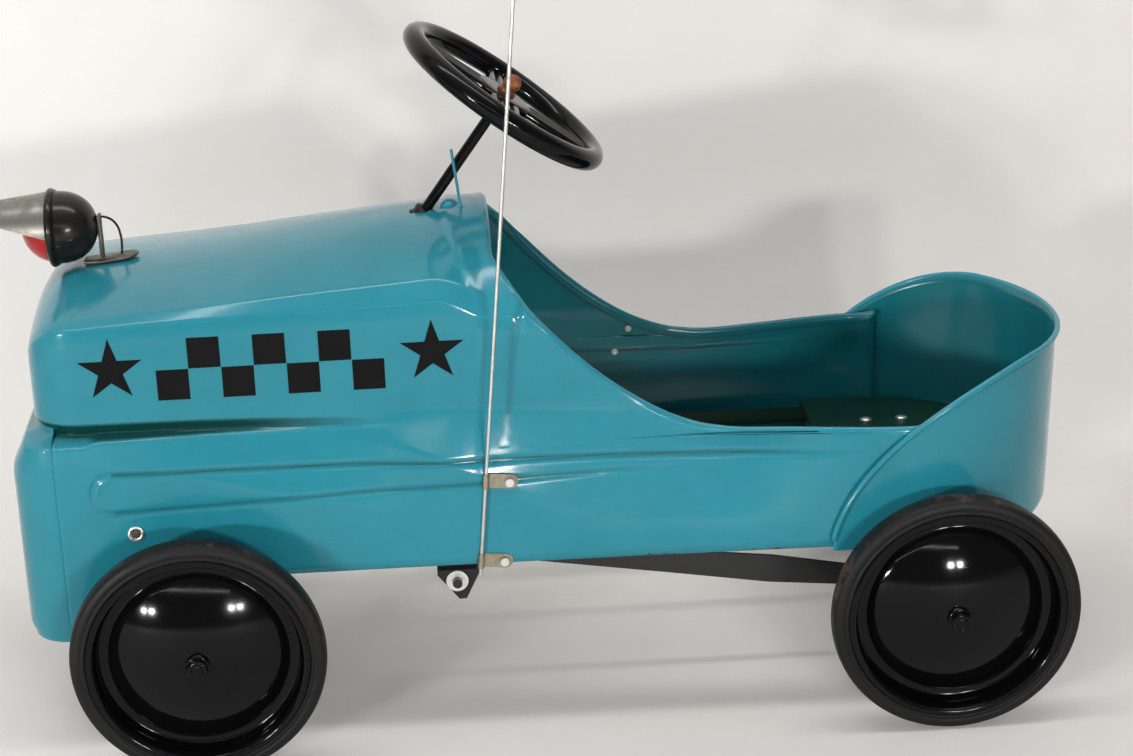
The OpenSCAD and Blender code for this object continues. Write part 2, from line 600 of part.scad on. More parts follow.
module tyre(x) color("#2a211e") at_wheel(x, wheel_y)
    rotate_extrude($fn = 96) translate([rim_r, 0]) difference() {
        union() {
            translate([0, -tyre_w / 2 + 1]) square([tyre_depth - 6, tyre_w - 2]);
            translate([4, -tyre_w / 2]) square([tyre_depth - 10, tyre_w]);
            translate([6, -tyre_w / 2 + 6]) square([tyre_depth - 6, tyre_w - 12]);
            for (h = [-1, 1]) translate([tyre_depth - 6, h * (tyre_w / 2 - 6)]) circle(r = 6);
        }
        for (h = [-1, 1]) translate([0, h * (tyre_w / 2 - 0.5)]) square([8, 1.02], center = true);
    }
module wheel_front_left() wheel_disc(0);
module wheel_front_right() mirror([0, 1, 0]) wheel_disc(0);
module wheel_rear_left() wheel_disc(wheelbase);
module wheel_rear_right() mirror([0, 1, 0]) wheel_disc(wheelbase);
module tyre_front_left() tyre(0);
module tyre_front_right() mirror([0, 1, 0]) tyre(0);
module tyre_rear_left() tyre(wheelbase);
module tyre_rear_right() mirror([0, 1, 0]) tyre(wheelbase);

module hub_nut(x) color(gloss_black) at_wheel(x, nut_start) difference() {
    union() {
        cylinder(r = nut_w / 2, h = 2);
        cylinder(r = nut_w / 2 - 1, h = nut_h, $fn = 6);
    }
    translate([0, 0, -1]) cylinder(r = axle_r, h = nut_h + 2);
}
module hub_nut_front_left() hub_nut(0);
module hub_nut_front_right() mirror([0, 1, 0]) hub_nut(0);
module hub_nuts_rear() both_sides() hub_nut(wheelbase);

// Drive: a rod bent into two opposite cranks, rods, and hanging pedal arms
web_y = 12;
crank_y = crank_gap / 2;
module crank(s, up) {
    z = axle_z + up * crank_r;
    for (y = [crank_y - web_y, crank_y + web_y]) {
        translate([wheelbase, s * y, min(axle_z, z)]) cylinder(r = axle_r, h = crank_r);
        translate([wheelbase, s * y, axle_z]) sphere(r = axle_r);
        translate([wheelbase, s * y, z]) sphere(r = axle_r);
    }
    across(wheelbase, z, axle_r, s * crank_y - web_y, s * crank_y + web_y);
}
module rear_axle() color(gloss_black) place() {
    across(wheelbase, axle_z, axle_r, -nut_start - nut_h + 1, -crank_y - web_y);
    across(wheelbase, axle_z, axle_r, -crank_y + web_y, crank_y - web_y);
    across(wheelbase, axle_z, axle_r, crank_y + web_y, nut_start + nut_h - 1);
    crank(-1, -1);
    crank(1, 1);
    both_sides() across(wheelbase, axle_z, hub_r, -wheel_y - hub_in + fit_gap, -bracket_y - 9);
}
bracket_y = rail_out - 27;
rear_bush_r = axle_r + 4;
module rear_bracket(s) color(gloss_black) place() side(s) difference() {
    union() {
        translate([0, -bracket_y, 0]) rotate([90, 0, 0]) linear_extrude(4) {
            translate([wheelbase, axle_z]) circle(r = 16);
            polygon([[wheelbase - 16, axle_z], [wheelbase + 16, axle_z], [rail_end - 4, sill_z],
                [rail_end - 4, rail_top], [wheelbase - 40, rail_top], [wheelbase - 40, sill_z]]);
        }
        box([wheelbase - 40, -rail_out, sill_z - 3], [rail_end - 4, -bracket_y, sill_z]);
    }
    across(wheelbase, axle_z, rear_bush_r, -bracket_y - 10, -bracket_y + 2);
}
module rear_bracket_left() rear_bracket(-1);
module rear_bracket_right() rear_bracket(1);
module rear_bushes() color("dimgray") place() both_sides() difference() {
    union() {
        across(wheelbase, axle_z, rear_bush_r, -bracket_y - 8, -bracket_y + 4);
        across(wheelbase, axle_z, rear_bush_r + 3, -bracket_y, -bracket_y + 2);
    }
    across(wheelbase, axle_z, axle_r + run_gap, -bracket_y - 10, -bracket_y + 6);
}

// Where two circles in the side plane cross, the lower crossing
function cross_at(c, r, e, q) =
    let(v = e - c, d = norm(v), a = (r * r - q * q + d * d) / (2 * d), h = sqrt(r * r - a * a))
    c + a / d * v + h / d * [v[1], -v[0]];
hanger_z = pedal_z + pedal_l;
hanger = [hanger_x, hanger_z];
rod_l = norm([wheelbase, axle_z] - [hanger_x, pedal_z]);
function crank_pin(up) = [wheelbase, axle_z + up * crank_r];
function spindle(up) = cross_at(hanger, pedal_l, crank_pin(up), rod_l);
function turn_of(a, b) = atan2(b[1] - a[1], b[0] - a[0]);

rod_y = crank_y;
arm_y = rod_y + strap_t + fit_gap + 4;
spindle_r = 4;
pad_y = arm_y + strap_t / 2 + 1 + fit_gap;
module in_plane(y, t) { translate([0, y + t / 2, 0]) rotate([90, 0, 0]) linear_extrude(t) children(); }

module drive_rod(s, up) color(gloss_black) place() side(s) difference() {
    a = spindle(up);
    b = crank_pin(up);
    union() {
        in_plane(-rod_y, strap_t) translate(a) rotate(turn_of(a, b)) {
            circle(r = 9);
            translate([rod_l, 0]) circle(r = 9);
            polygon([[0, -7], [rod_l * 0.45, -rod_depth / 2 + 2], [rod_l * 0.67, -rod_depth / 2], [rod_l, -6],
                [rod_l, 6], [rod_l * 0.67, rod_depth / 2], [rod_l * 0.45, rod_depth / 2 - 2], [0, 7]]);
        }
        across(b[0], b[1], 10, -rod_y - 5, -rod_y + 5);
        across(a[0], a[1], 5, -rod_y, -rod_y + strap_t / 2 + 2.5);
    }
    across(b[0], b[1], axle_r + run_gap, -rod_y - 8, -rod_y + 8);
}
module drive_rod_left() drive_rod(-1, -1);
module drive_rod_right() drive_rod(1, 1);

pedal_rod_r = 5;
module pedal_arm(s, up) color(gloss_black) place() side(s) difference() {
    a = spindle(up);
    union() {
        in_plane(-arm_y, strap_t) {
            translate(hanger) circle(r = 10);
            translate(a) circle(r = 9);
            translate(hanger) rotate(turn_of(hanger, a)) translate([0, -8]) square([pedal_l, 16]);
        }
        across(hanger[0], hanger[1], 9, -arm_y - 8, -arm_y + 8);
        across(a[0], a[1], spindle_r, -pad_y - pad_w - 8, -arm_y);
        across(a[0], a[1], 7, -arm_y, -rod_y - strap_t / 2 - fit_gap);
    }
    across(hanger[0], hanger[1], pedal_rod_r + run_gap, -arm_y - 10, -arm_y + 10);
}
module pedal_arm_left() pedal_arm(-1, -1);
module pedal_arm_right() pedal_arm(1, 1);

module pedal_pad(s, up) color("#1b1b1d") place() side(s) difference() {
    a = spindle(up);
    in_plane(-pad_y - pad_w / 2, pad_w) translate(a)
        polygon([[-15, 9], [16, 9], [18, 5], [7, -17], [1, -17], [-16, 5]]);
    across(a[0], a[1], spindle_r + run_gap, -pad_y - pad_w - 4, -pad_y + 4);
}
module pedal_pad_left() pedal_pad(-1, -1);
module pedal_pad_right() pedal_pad(1, 1);
module pedal_washer(s, up) color("gainsboro") place() side(s) difference() {
    a = spindle(up);
    across(a[0], a[1], 9, -pad_y - pad_w - 2 - fit_gap, -pad_y - pad_w - fit_gap);
    across(a[0], a[1], spindle_r, -pad_y - pad_w - 4, -pad_y - pad_w + 1);
}
module pedal_washer_left() pedal_washer(-1, -1);
module pedal_washer_right() pedal_washer(1, 1);

bracket_up = 12; // plate over the shaft's centre; the sheet draws in a little there
bracket_top = hanger_z + bracket_up - shoulder_2(hanger_x) + 14;
bracket_in = mix(side_y(hanger_x, hanger_z), upper_y - 2, clamp(bracket_top / 14)) - wall - fit_gap;
module pedal_shaft() color("dimgray") place() {
    across(hanger_x, hanger_z, pedal_rod_r, -bracket_in, bracket_in);
    both_sides() across(hanger_x, hanger_z, 8, -arm_y - 12, -arm_y - 8 - fit_gap);
    both_sides() across(hanger_x, hanger_z, 8, -arm_y + 8 + fit_gap, -arm_y + 12);
}
module pedal_shaft_brackets() color(gloss_black) place() both_sides() difference() {
    union() {
        box([hanger_x - 18, -bracket_in, hanger_z - 20],
            [hanger_x + 18, -bracket_in + 2.5, hanger_z + bracket_up]);
        across(hanger_x, hanger_z, 9, -bracket_in, -bracket_in + 12);
    }
    across(hanger_x, hanger_z, pedal_rod_r, -bracket_in - 1, -bracket_in + 14);
}

// Fasteners of the body
module side_bolts() color("gainsboro") place() both_sides() {
    y = side_y(bolt_x, bolt_z);
    across(bolt_x, bolt_z, 3, -y - 2, -y + 14);
    difference() {
        across(bolt_x, bolt_z, 6.5, -y - 2, -y - 0.6);
        across(bolt_x, bolt_z, 2.9, -y - 4, -y + 1);
    }
    across(bolt_x, bolt_z, 4, -y - 4, -y - 1.6);
    translate([bolt_x, -cross_y + cross_t + 5, bolt_z]) rotate([90, 0, 0]) cylinder(r = 6, h = 4.7, $fn = 6);
}
module wall_screws() color("gainsboro") place() mirror([0, 1, 0]) for (p = screw_spots) {
    y = side_y(p[0], p[1]);
    across(p[0], p[1], 2, -y - 0.8, -y + wall + 3.5);
    across(p[0], p[1], 4, -y + wall + 1, -y + wall + 3.5);
    across(p[0], p[1], 4, -y - 2.8, -y - 0.8);
}
cap_x = cowl_x - 27;
module cowl_cap() color(teal) place() translate([cap_x, 0, hood_z(cap_x) + 0.2]) intersection() {
    translate([0, 0, -2]) sphere(r = 8.5);
    cylinder(r = 9, h = 9);
}
pin_x = cowl_x - 18;
pin_y = 10;
module cowl_pin() color(teal) place() translate([pin_x, -pin_y, hood_z(pin_x) + 0.2]) {
    cylinder(r = 3, h = 2);
    rotate([0, -6.5, 0]) cylinder(r = 1.2, h = 50);
}

// Lamp on the nose: base plate and strap, bowl, ring, red lens under a bright peak
lamp_r = lamp_d / 2;
lamp_back = -nose_x + 54;
lamp_z = hood_z(lamp_back) + lamp_up;
lamp_front = lamp_back - 40;
module lamp_turn() {
    translate([lamp_front, 0, lamp_z]) rotate([0, 90, 0]) rotate_extrude($fn = 96) children();
}
strap_x = lamp_back + fit_gap;
module lamp_base() color("dimgray") place() {
    box([strap_x, -6, hood_z(lamp_back) + 1], [strap_x + 3, 6, lamp_z + 9]);
    translate([strap_x, 0, hood_z(lamp_back) + 0.6]) rotate([0, -6, 0]) linear_extrude(2) {
        translate([0, -10]) square([20, 20]);
        translate([20, 0]) circle(r = 10);
    }
}
bowl = [[8, lamp_r - 2], [11, lamp_r - 3.5], [18, lamp_r - 5], [27, lamp_r - 11], [34, lamp_r - 18],
    [38, lamp_r - 23]];
module lamp_housing() color("#26211c") place() lamp_turn() polygon(concat(
    [for (p = bowl) [p[1], p[0]]], [[0, 40], [0, 38]],
    [for (i = [5 : -1 : 0]) [bowl[i][1] - 2.5, bowl[i][0] - (i > 3 ? 1.5 : 0)]]));
module lamp_bezel() color("#1c1916") place() lamp_turn() difference() {
    union() {
        translate([lamp_r - 3, 4]) circle(r = 3);
        translate([lamp_r - 5, 1.5]) square([3, 6.3]);
    }
    translate([lamp_r - 8, 1.4]) square([3.4, 5]);
}
lens_r = lamp_r - 5;
lens_h = 21;
lens_arc = (lens_r * lens_r + lens_h * lens_h) / (2 * lens_h);
module lamp_lens() color("crimson") place() lamp_turn() difference() {
    intersection() {
        translate([0, lens_arc - lens_h]) circle(r = lens_arc, $fn = 96);
        translate([0, -lens_h - 1]) square([lens_r, lens_h + 5]);
    }
    intersection() {
        translate([0, lens_arc - lens_h]) circle(r = lens_arc - 2, $fn = 96);
        translate([-1, -lens_h - 1]) square([lens_r - 1, lens_h + 8]);
    }
}
visor_l = lamp_front - visor_tip;
module lamp_visor() color("gainsboro") place() intersection() {
    lamp_turn() polygon([[lamp_r - 3.4, 1.2], [lamp_r - 2.2, 1.2], [lamp_r - 10, -visor_l],
        [lamp_r - 11.2, -visor_l]]);
    translate([lamp_front + 2, 0, lamp_z - 2]) rotate([0, 16, 0]) box([-120, -60, 0], [0, 60, 70]);
}
module lamp_bulb() color("gold") place() {
    translate([lamp_front + 14, 0, lamp_z]) sphere(r = 6);
    translate([lamp_front + 14, 0, lamp_z]) rotate([0, 90, 0]) cylinder(r = 4, h = 24);
}
wire_from = [lamp_back - 0.8, 8, lamp_z + 5];
wire_mid = [lamp_back + 21, 8, lamp_z + 6];
wire_to = [lamp_back + 17, 4, hood_z(lamp_back) + 4.6];
function bend(a, b, c, t) = pow(1 - t, 2) * a + 2 * t * (1 - t) * b + t * t * c;
wire_side = [lamp_back - 30, 60, lamp_z - 30]; // a place off the wire that its rings face
module lamp_wire() color(gloss_black) place()
    tube([for (i = [0 : 10]) bend(wire_from, wire_mid, wire_to, i / 10)], 1, wire_side);

// Antenna in two split clips on the left side
mast_lean = 5.5;
mast_low = sill_z - 8;
mast_x = cowl_x - 19;
clip_y = side_y(mast_x + 18, waist_z - 69) + fit_gap;
mast_y = clip_y + 1.2 + mast_d / 2 + 0.2;
module on_mast(z) {
    translate([mast_x + (z - mast_low) * tan(mast_lean), -mast_y, z]) rotate([0, mast_lean, 0]) children();
}
module antenna() color("silver") place() on_mast(mast_low)
    cylinder(r = mast_d / 2, h = (mast_z - mast_low) / cos(mast_lean));
clip_heights = [sill_z + 4, waist_z - 61];
module antenna_clips() color("silver") place() for (z = clip_heights) on_mast(z) {
    difference() {
        translate([0, 0, -6]) cylinder(r = mast_d / 2 + 1.2, h = 12);
        translate([0, 0, -7]) cylinder(r = mast_d / 2, h = 14);
    }
    difference() {
        translate([0, mast_d / 2 + 1.4, 0]) rotate([90, 0, 0]) linear_extrude(1.2) {
            translate([0, -6]) square([20, 12]);
            translate([20, 0]) circle(r = 6);
        }
        translate([0, 0, -7]) cylinder(r = mast_d / 2, h = 14);
        translate([19, 0, 0]) rotate([-90, 0, 0]) cylinder(r = 2.05, h = 20, center = true);
    }
}
module clip_rivets() color("gainsboro") place() for (z = clip_heights)
    on_mast(z) translate([19, 0, 0]) rotate([-90, 0, 0]) {
        translate([0, 0, -2]) cylinder(r = 3.4, h = 2);
        translate([0, 0, -1]) cylinder(r = 2, h = 6);
    }

body_shell();
cockpit_edge();
front_panel();
rear_tub();
tub_edge();
seat();
seat_screws();
chassis_rail_left();
chassis_rail_right();
front_cross_member();
front_axle_beam();
kingpins();
rear_bracket_left();
rear_bracket_right();
rear_bushes();
column_grommet();
column_bush();
pedal_shaft();
pedal_shaft_brackets();
side_bolts();
wall_screws();
cowl_pin();
cowl_cap();
lamp_base();
lamp_housing();
lamp_bezel();
lamp_lens();
lamp_visor();
lamp_bulb();
lamp_wire();
antenna();
antenna_clips();
clip_rivets();
steering_shaft();
steering_wheel_rim();
steering_wheel_spokes();
acorn_nut();
knuckle_left();
knuckle_right();
tie_rod();
wheel_front_left();
wheel_front_right();
wheel_rear_left();
wheel_rear_right();
tyre_front_left();
tyre_front_right();
tyre_rear_left();
tyre_rear_right();
hub_nut_front_left();
hub_nut_front_right();
rear_axle();
hub_nuts_rear();
pedal_arm_left();
pedal_arm_right();
pedal_pad_left();
pedal_pad_right();
drive_rod_left();
drive_rod_right();
pedal_washer_left();
pedal_washer_right();
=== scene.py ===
# %% [markdown]
# # A pressed-steel pedal car, dressed for its picture
# The car arrives as plain solids that already have the right sizes. Here each visible piece gets
# the form and the finish of the real one: one smooth sheet for the hood and sides, lathed wheels,
# a rolled cockpit edge, gloss enamel, rubber, plated clips. Lengths below are in millimetres, taken
# along the car from the front axle and upwards from the floor, as a body maker would note them.

# %% Load the frame
import math
from contextlib import contextmanager

import bmesh
import bpy
import numpy as np
from mathutils import Matrix, Vector


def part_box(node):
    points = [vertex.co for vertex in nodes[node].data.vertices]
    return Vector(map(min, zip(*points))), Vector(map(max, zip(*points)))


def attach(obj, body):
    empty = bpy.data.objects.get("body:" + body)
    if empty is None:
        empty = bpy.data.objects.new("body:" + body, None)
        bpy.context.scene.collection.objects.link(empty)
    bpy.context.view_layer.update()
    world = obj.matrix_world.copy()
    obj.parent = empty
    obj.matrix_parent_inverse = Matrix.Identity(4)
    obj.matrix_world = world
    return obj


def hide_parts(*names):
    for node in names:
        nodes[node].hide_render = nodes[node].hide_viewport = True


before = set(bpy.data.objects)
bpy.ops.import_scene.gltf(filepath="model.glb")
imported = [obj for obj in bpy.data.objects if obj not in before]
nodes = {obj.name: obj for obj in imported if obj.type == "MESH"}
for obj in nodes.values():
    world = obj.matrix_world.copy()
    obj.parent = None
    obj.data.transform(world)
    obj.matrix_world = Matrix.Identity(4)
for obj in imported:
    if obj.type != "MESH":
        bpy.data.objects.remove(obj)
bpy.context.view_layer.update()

# %% [markdown]
# The frame has its origin under the middle of the car, so one shift turns a place along the car
# into a place in the scene. `place` does it for whole arrays of points at once.

# %% From car millimetres to scene metres
SHIFT, WALL = -280.75, 1.5
WHEELBASE, AXLE_Z = 608.0, 101.5


def place(points):
    return (np.array(points, float).reshape(-1, 3) + [SHIFT, 0, 0]) / 1000


def car_points(mesh):
    """The points of a mesh, back in car millimetres."""
    return np.array([v.co for v in mesh.vertices]) * 1000 - [SHIFT, 0, 0]


def clamp(t):
    return np.clip(t, 0, 1)


def ease(t):
    c = clamp(t)
    return c * c * (3 - 2 * c)


def rise(x, start, end):
    """From 0 to 1 between two places, soft at both."""
    return ease((x - start) / (end - start))


def mix(a, b, t):
    return a + (b - a) * t


def put(name, data):
    """A new object in the scene."""
    obj = bpy.data.objects.new(name, data)
    bpy.context.scene.collection.objects.link(obj)
    return obj


# %% [markdown]
# ## The camera
# The photograph was taken from a little over two car lengths away, looking down at the left side.
# Its place and lens were solved from the ellipses of the four tyres, so the camera is written down
# as that solution: a point, a heading, a dip, a small roll and a focal length.

# %% Camera
CAMERA_AT, HEADING, DIP, ROLL = (192, -1934.4, 980), 3.5, 20.5, 1.97
FOCAL_PX, PICTURE_PX, SENSOR = 2447, 1133, 36


def look(yaw, pitch, roll):
    y, p, r = (math.radians(a) for a in (yaw, pitch, roll))
    ahead = np.array([math.sin(y), math.cos(y), 0]) * math.cos(p) - np.array([0, 0, math.sin(p)])
    right = np.array([math.cos(y), -math.sin(y), 0])
    down = np.cross(ahead, right)
    turned_right = math.cos(r) * right + math.sin(r) * down
    turned_down = -math.sin(r) * right + math.cos(r) * down
    return Matrix(np.array([turned_right, -turned_down, -ahead]).T.tolist()).to_4x4()


camera_data = bpy.data.cameras.new("camera")
camera_data.sensor_width = SENSOR
camera_data.lens = FOCAL_PX / PICTURE_PX * SENSOR
camera = put("camera", camera_data)
camera.matrix_world = Matrix.Translation(place(CAMERA_AT)[0].tolist()) @ look(HEADING, DIP, ROLL)
bpy.context.scene.camera = camera
print("camera: lens", round(camera_data.lens, 2), "mm")

# %% [markdown]
# ## Helpers for meshes
# Nearly every pressed piece is a grid of points: rows one way, columns the other. `grid_faces`
# turns such a grid into faces, and `tidy` merges points that meet and turns the faces outwards.
# Lathed pieces and tubes are grids too, closed on themselves, so they share it.

# %% Mesh helpers
MERGE, CRISP = 0.00002, 40


def new_object(name, vertices, faces):
    mesh = bpy.data.meshes.new(name)
    mesh.from_pydata([tuple(v) for v in vertices], [], faces)
    mesh.update()
    mesh.polygons.foreach_set("use_smooth", [True] * len(mesh.polygons))
    return put(name, mesh)


def grid_faces(rows, cols, close_rows=False, close_cols=False, keep=None):
    def at(i, j):
        return (i % rows) * cols + j % cols

    return [(at(i, j), at(i + 1, j), at(i + 1, j + 1), at(i, j + 1))
            for i in range(rows if close_rows else rows - 1)
            for j in range(cols if close_cols else cols - 1) if keep is None or keep[i, j]]


def end_faces(rows, count):
    """The two faces that close a tube of this many rows of points."""
    return [tuple(range(count)), tuple((rows - 1) * count + k for k in range(count - 1, -1, -1))]


@contextmanager
def editing(obj):
    """The mesh of an object as a bmesh, written back at the end."""
    work = bmesh.new()
    work.from_mesh(obj.data)
    yield work
    work.to_mesh(obj.data)
    work.free()


def from_bmesh(name, work):
    mesh = bpy.data.meshes.new(name)
    work.to_mesh(mesh)
    work.free()
    return put(name, mesh)


def tidy(obj):
    with editing(obj) as work:
        bmesh.ops.remove_doubles(work, verts=work.verts, dist=MERGE)
        bmesh.ops.dissolve_degenerate(work, edges=work.edges, dist=MERGE / 2)
        bmesh.ops.recalc_face_normals(work, faces=work.faces)
    return obj


def facing(obj, inside):
    """Turn an open sheet so that its faces look away from a point inside."""
    centre = Vector(place(inside)[0].tolist())
    with editing(obj) as work:
        if sum(f.calc_area() * f.normal.dot(f.calc_center_median() - centre) for f in work.faces) < 0:
            bmesh.ops.reverse_faces(work, faces=work.faces)
    return obj


def shade_by_angle(obj, degrees=CRISP):
    """Smooth shading, but edges sharper than this stay crisp."""
    obj.data.polygons.foreach_set("use_smooth", [True] * len(obj.data.polygons))
    obj.data.set_sharp_from_angle(angle=math.radians(degrees))
    return obj


def apply_modifiers(obj):
    bpy.context.view_layer.update()
    graph = bpy.context.evaluated_depsgraph_get()
    shaped = obj.evaluated_get(graph)
    mesh = bpy.data.meshes.new_from_object(shaped, preserve_all_data_layers=True, depsgraph=graph)
    obj.modifiers.clear()
    obj.data = mesh
    return obj


def modified(obj, kind, **settings):
    """The object with one modifier applied."""
    modifier = obj.modifiers.new("shape", kind)
    for name, value in settings.items():
        setattr(modifier, name, value)
    return apply_modifiers(obj)


def soften(obj, width, angle=50):
    """Edges sharper than the angle get a small bevel of this width in metres."""
    modified(obj, "BEVEL", width=width, segments=2, limit_method="ANGLE", angle_limit=math.radians(angle))
    return shade_by_angle(obj)


def painted(obj, *materials):
    obj.data.materials.clear()
    for material in materials:
        obj.data.materials.append(material)
    return obj


def paint_mask(obj, name, values):
    obj.data.attributes.new(name, "FLOAT", "POINT").data.foreach_set("value", np.asarray(values, np.float32))


def join(name, parts):
    """One mesh from several, with their materials and attributes kept."""
    base = parts[0]
    with bpy.context.temp_override(active_object=base, selected_editable_objects=parts,
                                   selected_objects=parts, object=base):
        bpy.ops.object.join()
    base.name = base.data.name = name
    return base


def dress(piece, body, replaced, slot, *materials):
    """Material, body and replaced nodes of one piece. The slot is not used."""
    if materials:
        painted(piece, *materials)
    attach(piece, body)
    if replaced:
        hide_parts(*replaced)
    return piece


def lathe(name, profile, centre, axis, steps=96):
    """A closed profile of (radius, distance along the axis) spun round an axis through centre."""
    axis = Vector(axis).normalized()
    side = axis.orthogonal().normalized()
    other = axis.cross(side)
    points = []
    for k in range(steps):
        a = 2 * math.pi * k / steps
        out = side * math.cos(a) + other * math.sin(a)
        points += [Vector(centre) + out * r + axis * h for r, h in profile]
    return shade_by_angle(tidy(new_object(name, place(points), grid_faces(steps, len(profile), True, True))))


def sweep(name, path, radii, up, sides=16):
    """A tube along a path. radii are (across, along up); up is one direction or one for each point."""
    path = [Vector(p) for p in path]
    ups = np.broadcast_to(np.array(up, float), (len(path), 3))
    last, points = len(path) - 1, []
    for i, p in enumerate(path):
        t = (path[min(i + 1, last)] - path[max(i - 1, 0)]).normalized()
        u = Vector(ups[i])
        u = (u - t * u.dot(t)).normalized()
        w = t.cross(u)
        for s in range(sides):
            g = 2 * math.pi * s / sides
            points.append(p + w * (radii[0] * math.cos(g)) + u * (radii[1] * math.sin(g)))
    faces = grid_faces(len(path), sides, close_cols=True) + end_faces(len(path), sides)
    return tidy(new_object(name, place(points), faces))


print("helpers ready")

# %% [markdown]
# ## Finishes
# Gloss enamel is never one flat colour. It mottles where the spray overlapped, settles with dust
# on faces that look up, dulls where hands rub it, and chips along edges. Each of these effects is
# a small node group with its own inputs, so teal, green and black enamel can share them and only
# the amounts differ. Groups give colours, masks and heights; the shader itself stays outside.
# A `Signal` is a node's output that takes part in sums and products, so the trees read as formulas.

# %% Node helpers
class Signal:
    """A node's output. Each sum or product with it puts one Math node in its tree."""

    def __init__(self, socket):
        self.socket, self.tree = socket, socket.id_data

    def math(self, operation, a, b, clamped=False):
        return add(self.tree, "ShaderNodeMath", {0: a, 1: b}, operation=operation, use_clamp=clamped)[0]

    def __add__(self, other):
        return self.math("ADD", self, other)

    def __sub__(self, other):
        return self.math("SUBTRACT", self, other)

    def __rsub__(self, other):
        return self.math("SUBTRACT", other, self)

    def __mul__(self, other):
        return self.math("MULTIPLY", self, other)

    def __truediv__(self, other):
        return self.math("DIVIDE", self, other)

    def larger(self, other):
        return self.math("MAXIMUM", self, other)


class Outputs:
    """The outputs of a node as signals, by name or number."""

    def __init__(self, sockets):
        self.sockets = sockets

    def __getitem__(self, key):
        return Signal(self.sockets[key])


def wire(source, target):
    """Links a signal, or writes a plain value, into an input."""
    if isinstance(source, Signal):
        source.tree.links.new(source.socket, target)
    else:
        target.default_value = source


def add(tree, kind, inputs=None, **settings):
    """A new node with its settings and inputs; gives its outputs."""
    node = tree.nodes.new(kind)
    for name, value in settings.items():
        setattr(node, name, value)
    for name, value in (inputs or {}).items():
        wire(value, node.inputs[name])
    return Outputs(node.outputs)


def group_ends(group):
    """What goes into a group, as signals, and the sockets where its results go."""
    return Outputs(group.nodes.new("NodeGroupInput").outputs), group.nodes.new("NodeGroupOutput").inputs


def new_group(name, inputs, outputs):
    """A shader group. A tuple as its default makes an input a colour, a number makes it a value."""
    group = bpy.data.node_groups.new(name, "ShaderNodeTree")
    for label, default in inputs.items():
        kind = "NodeSocketColor" if isinstance(default, tuple) else "NodeSocketFloat"
        group.interface.new_socket(label, in_out="INPUT", socket_type=kind).default_value = default
    for label in outputs:
        kind = "NodeSocketColor" if label == "Colour" else "NodeSocketFloat"
        group.interface.new_socket(label, in_out="OUTPUT", socket_type=kind)
    return (group, *group_ends(group))


def use(tree, group, **values):
    """A group placed in a tree."""
    return add(tree, "ShaderNodeGroup", {k.replace("_", " "): v for k, v in values.items()}, node_tree=group)


def ramp(value, low, high, to_low=0.0, to_high=1.0):
    limits = {"Value": value, "From Min": low, "From Max": high, "To Min": to_low, "To Max": to_high}
    return add(value.tree, "ShaderNodeMapRange", limits, interpolation_type="SMOOTHSTEP")["Result"]


def noise(where, scale, detail, rough, distortion=0.0):
    values = {"Vector": where, "Scale": scale, "Detail": detail, "Roughness": rough, "Distortion": distortion}
    return add(where.tree, "ShaderNodeTexNoise", values)["Fac"]


def blend(factor, a, b):
    """Colour a, turned into colour b by a factor."""
    return add(factor.tree, "ShaderNodeMix", {0: factor, 6: a, 7: b}, data_type="RGBA")[2]


def stretched(where, scale):
    return add(where.tree, "ShaderNodeMapping", {"Vector": where, "Scale": scale})["Vector"]


def object_place(tree):
    return add(tree, "ShaderNodeTexCoord")["Object"]


def parts_of(vector):
    return add(vector.tree, "ShaderNodeSeparateXYZ", {0: vector})


def painted_mask(tree, name):
    return add(tree, "ShaderNodeAttribute", attribute_name=name)["Fac"]


# %% Mottle: slow drift between two tones, as where spray passes overlap
MOTTLE, i, o = new_group("mottle", {"Tone": (0.1, 0.3, 0.3, 1), "Second tone": (0.1, 0.2, 0.2, 1),
                                    "Size": 9.0, "Strength": 0.5}, ["Colour", "Drift"])
where = object_place(MOTTLE)
broad, fine = noise(where, i["Size"], 4, 0.6, 0.4), noise(where, i["Size"] * 6.0, 3, 0.6)
drift = ramp(broad * 0.75 + fine * 0.25, 0.38, 0.64)
wire(blend(drift * i["Strength"], i["Tone"], i["Second tone"]), o["Colour"])
wire(drift, o["Drift"])

# %% Dust: cloudy patches on faces that look up
DUST, i, o = new_group("dust", {"Amount": 0.3, "Patch size": 14.0}, ["Mask"])
where = object_place(DUST)
up = ramp(parts_of(add(DUST, "ShaderNodeNewGeometry")["Normal"])["Z"], 0.35, 0.95)
patches = ramp(noise(where, i["Patch size"], 5, 0.65), 0.4, 0.75)
specks = ramp(noise(where, 420.0, 2, 0.5), 0.62, 0.72)
wire(up.math("MULTIPLY", up * patches.larger(specks * 0.8), i["Amount"], clamped=True), o["Mask"])

# %% Wear: broken chips along edges. Near edge is 1 on the edge and falls to 0 inwards
WEAR, i, o = new_group("edge wear", {"Near edge": 0.0, "Amount": 0.5, "Grain": 180.0}, ["Mask"])
where = object_place(WEAR)
broken = noise(where, i["Grain"], 4, 0.7) * 0.7 + noise(where, 16.0, 2, 0.5) * 0.5
wire(ramp(i["Near edge"] * i["Amount"] + broken, 0.98, 1.04), o["Mask"])

# %% Hairlines: fine scratches, mostly along the car, and a height for them
SCRATCHES, i, o = new_group("hairlines", {"Amount": 0.5, "Spacing": 900.0}, ["Mask", "Height"])
where = object_place(SCRATCHES)
along = noise(stretched(where, (0.018, 1, 1)), i["Spacing"], 2, 0.5)
across = noise(stretched(where, (1, 1, 0.03)), i["Spacing"], 2, 0.5)
gate = ramp(noise(where, 22.0, 2, 0.5), 0.5, 0.68)
mask = ramp(along, 0.71, 0.75).larger(ramp(across, 0.73, 0.77)) * gate * i["Amount"]
wire(mask, o["Mask"])
wire(mask * -1.0, o["Height"])

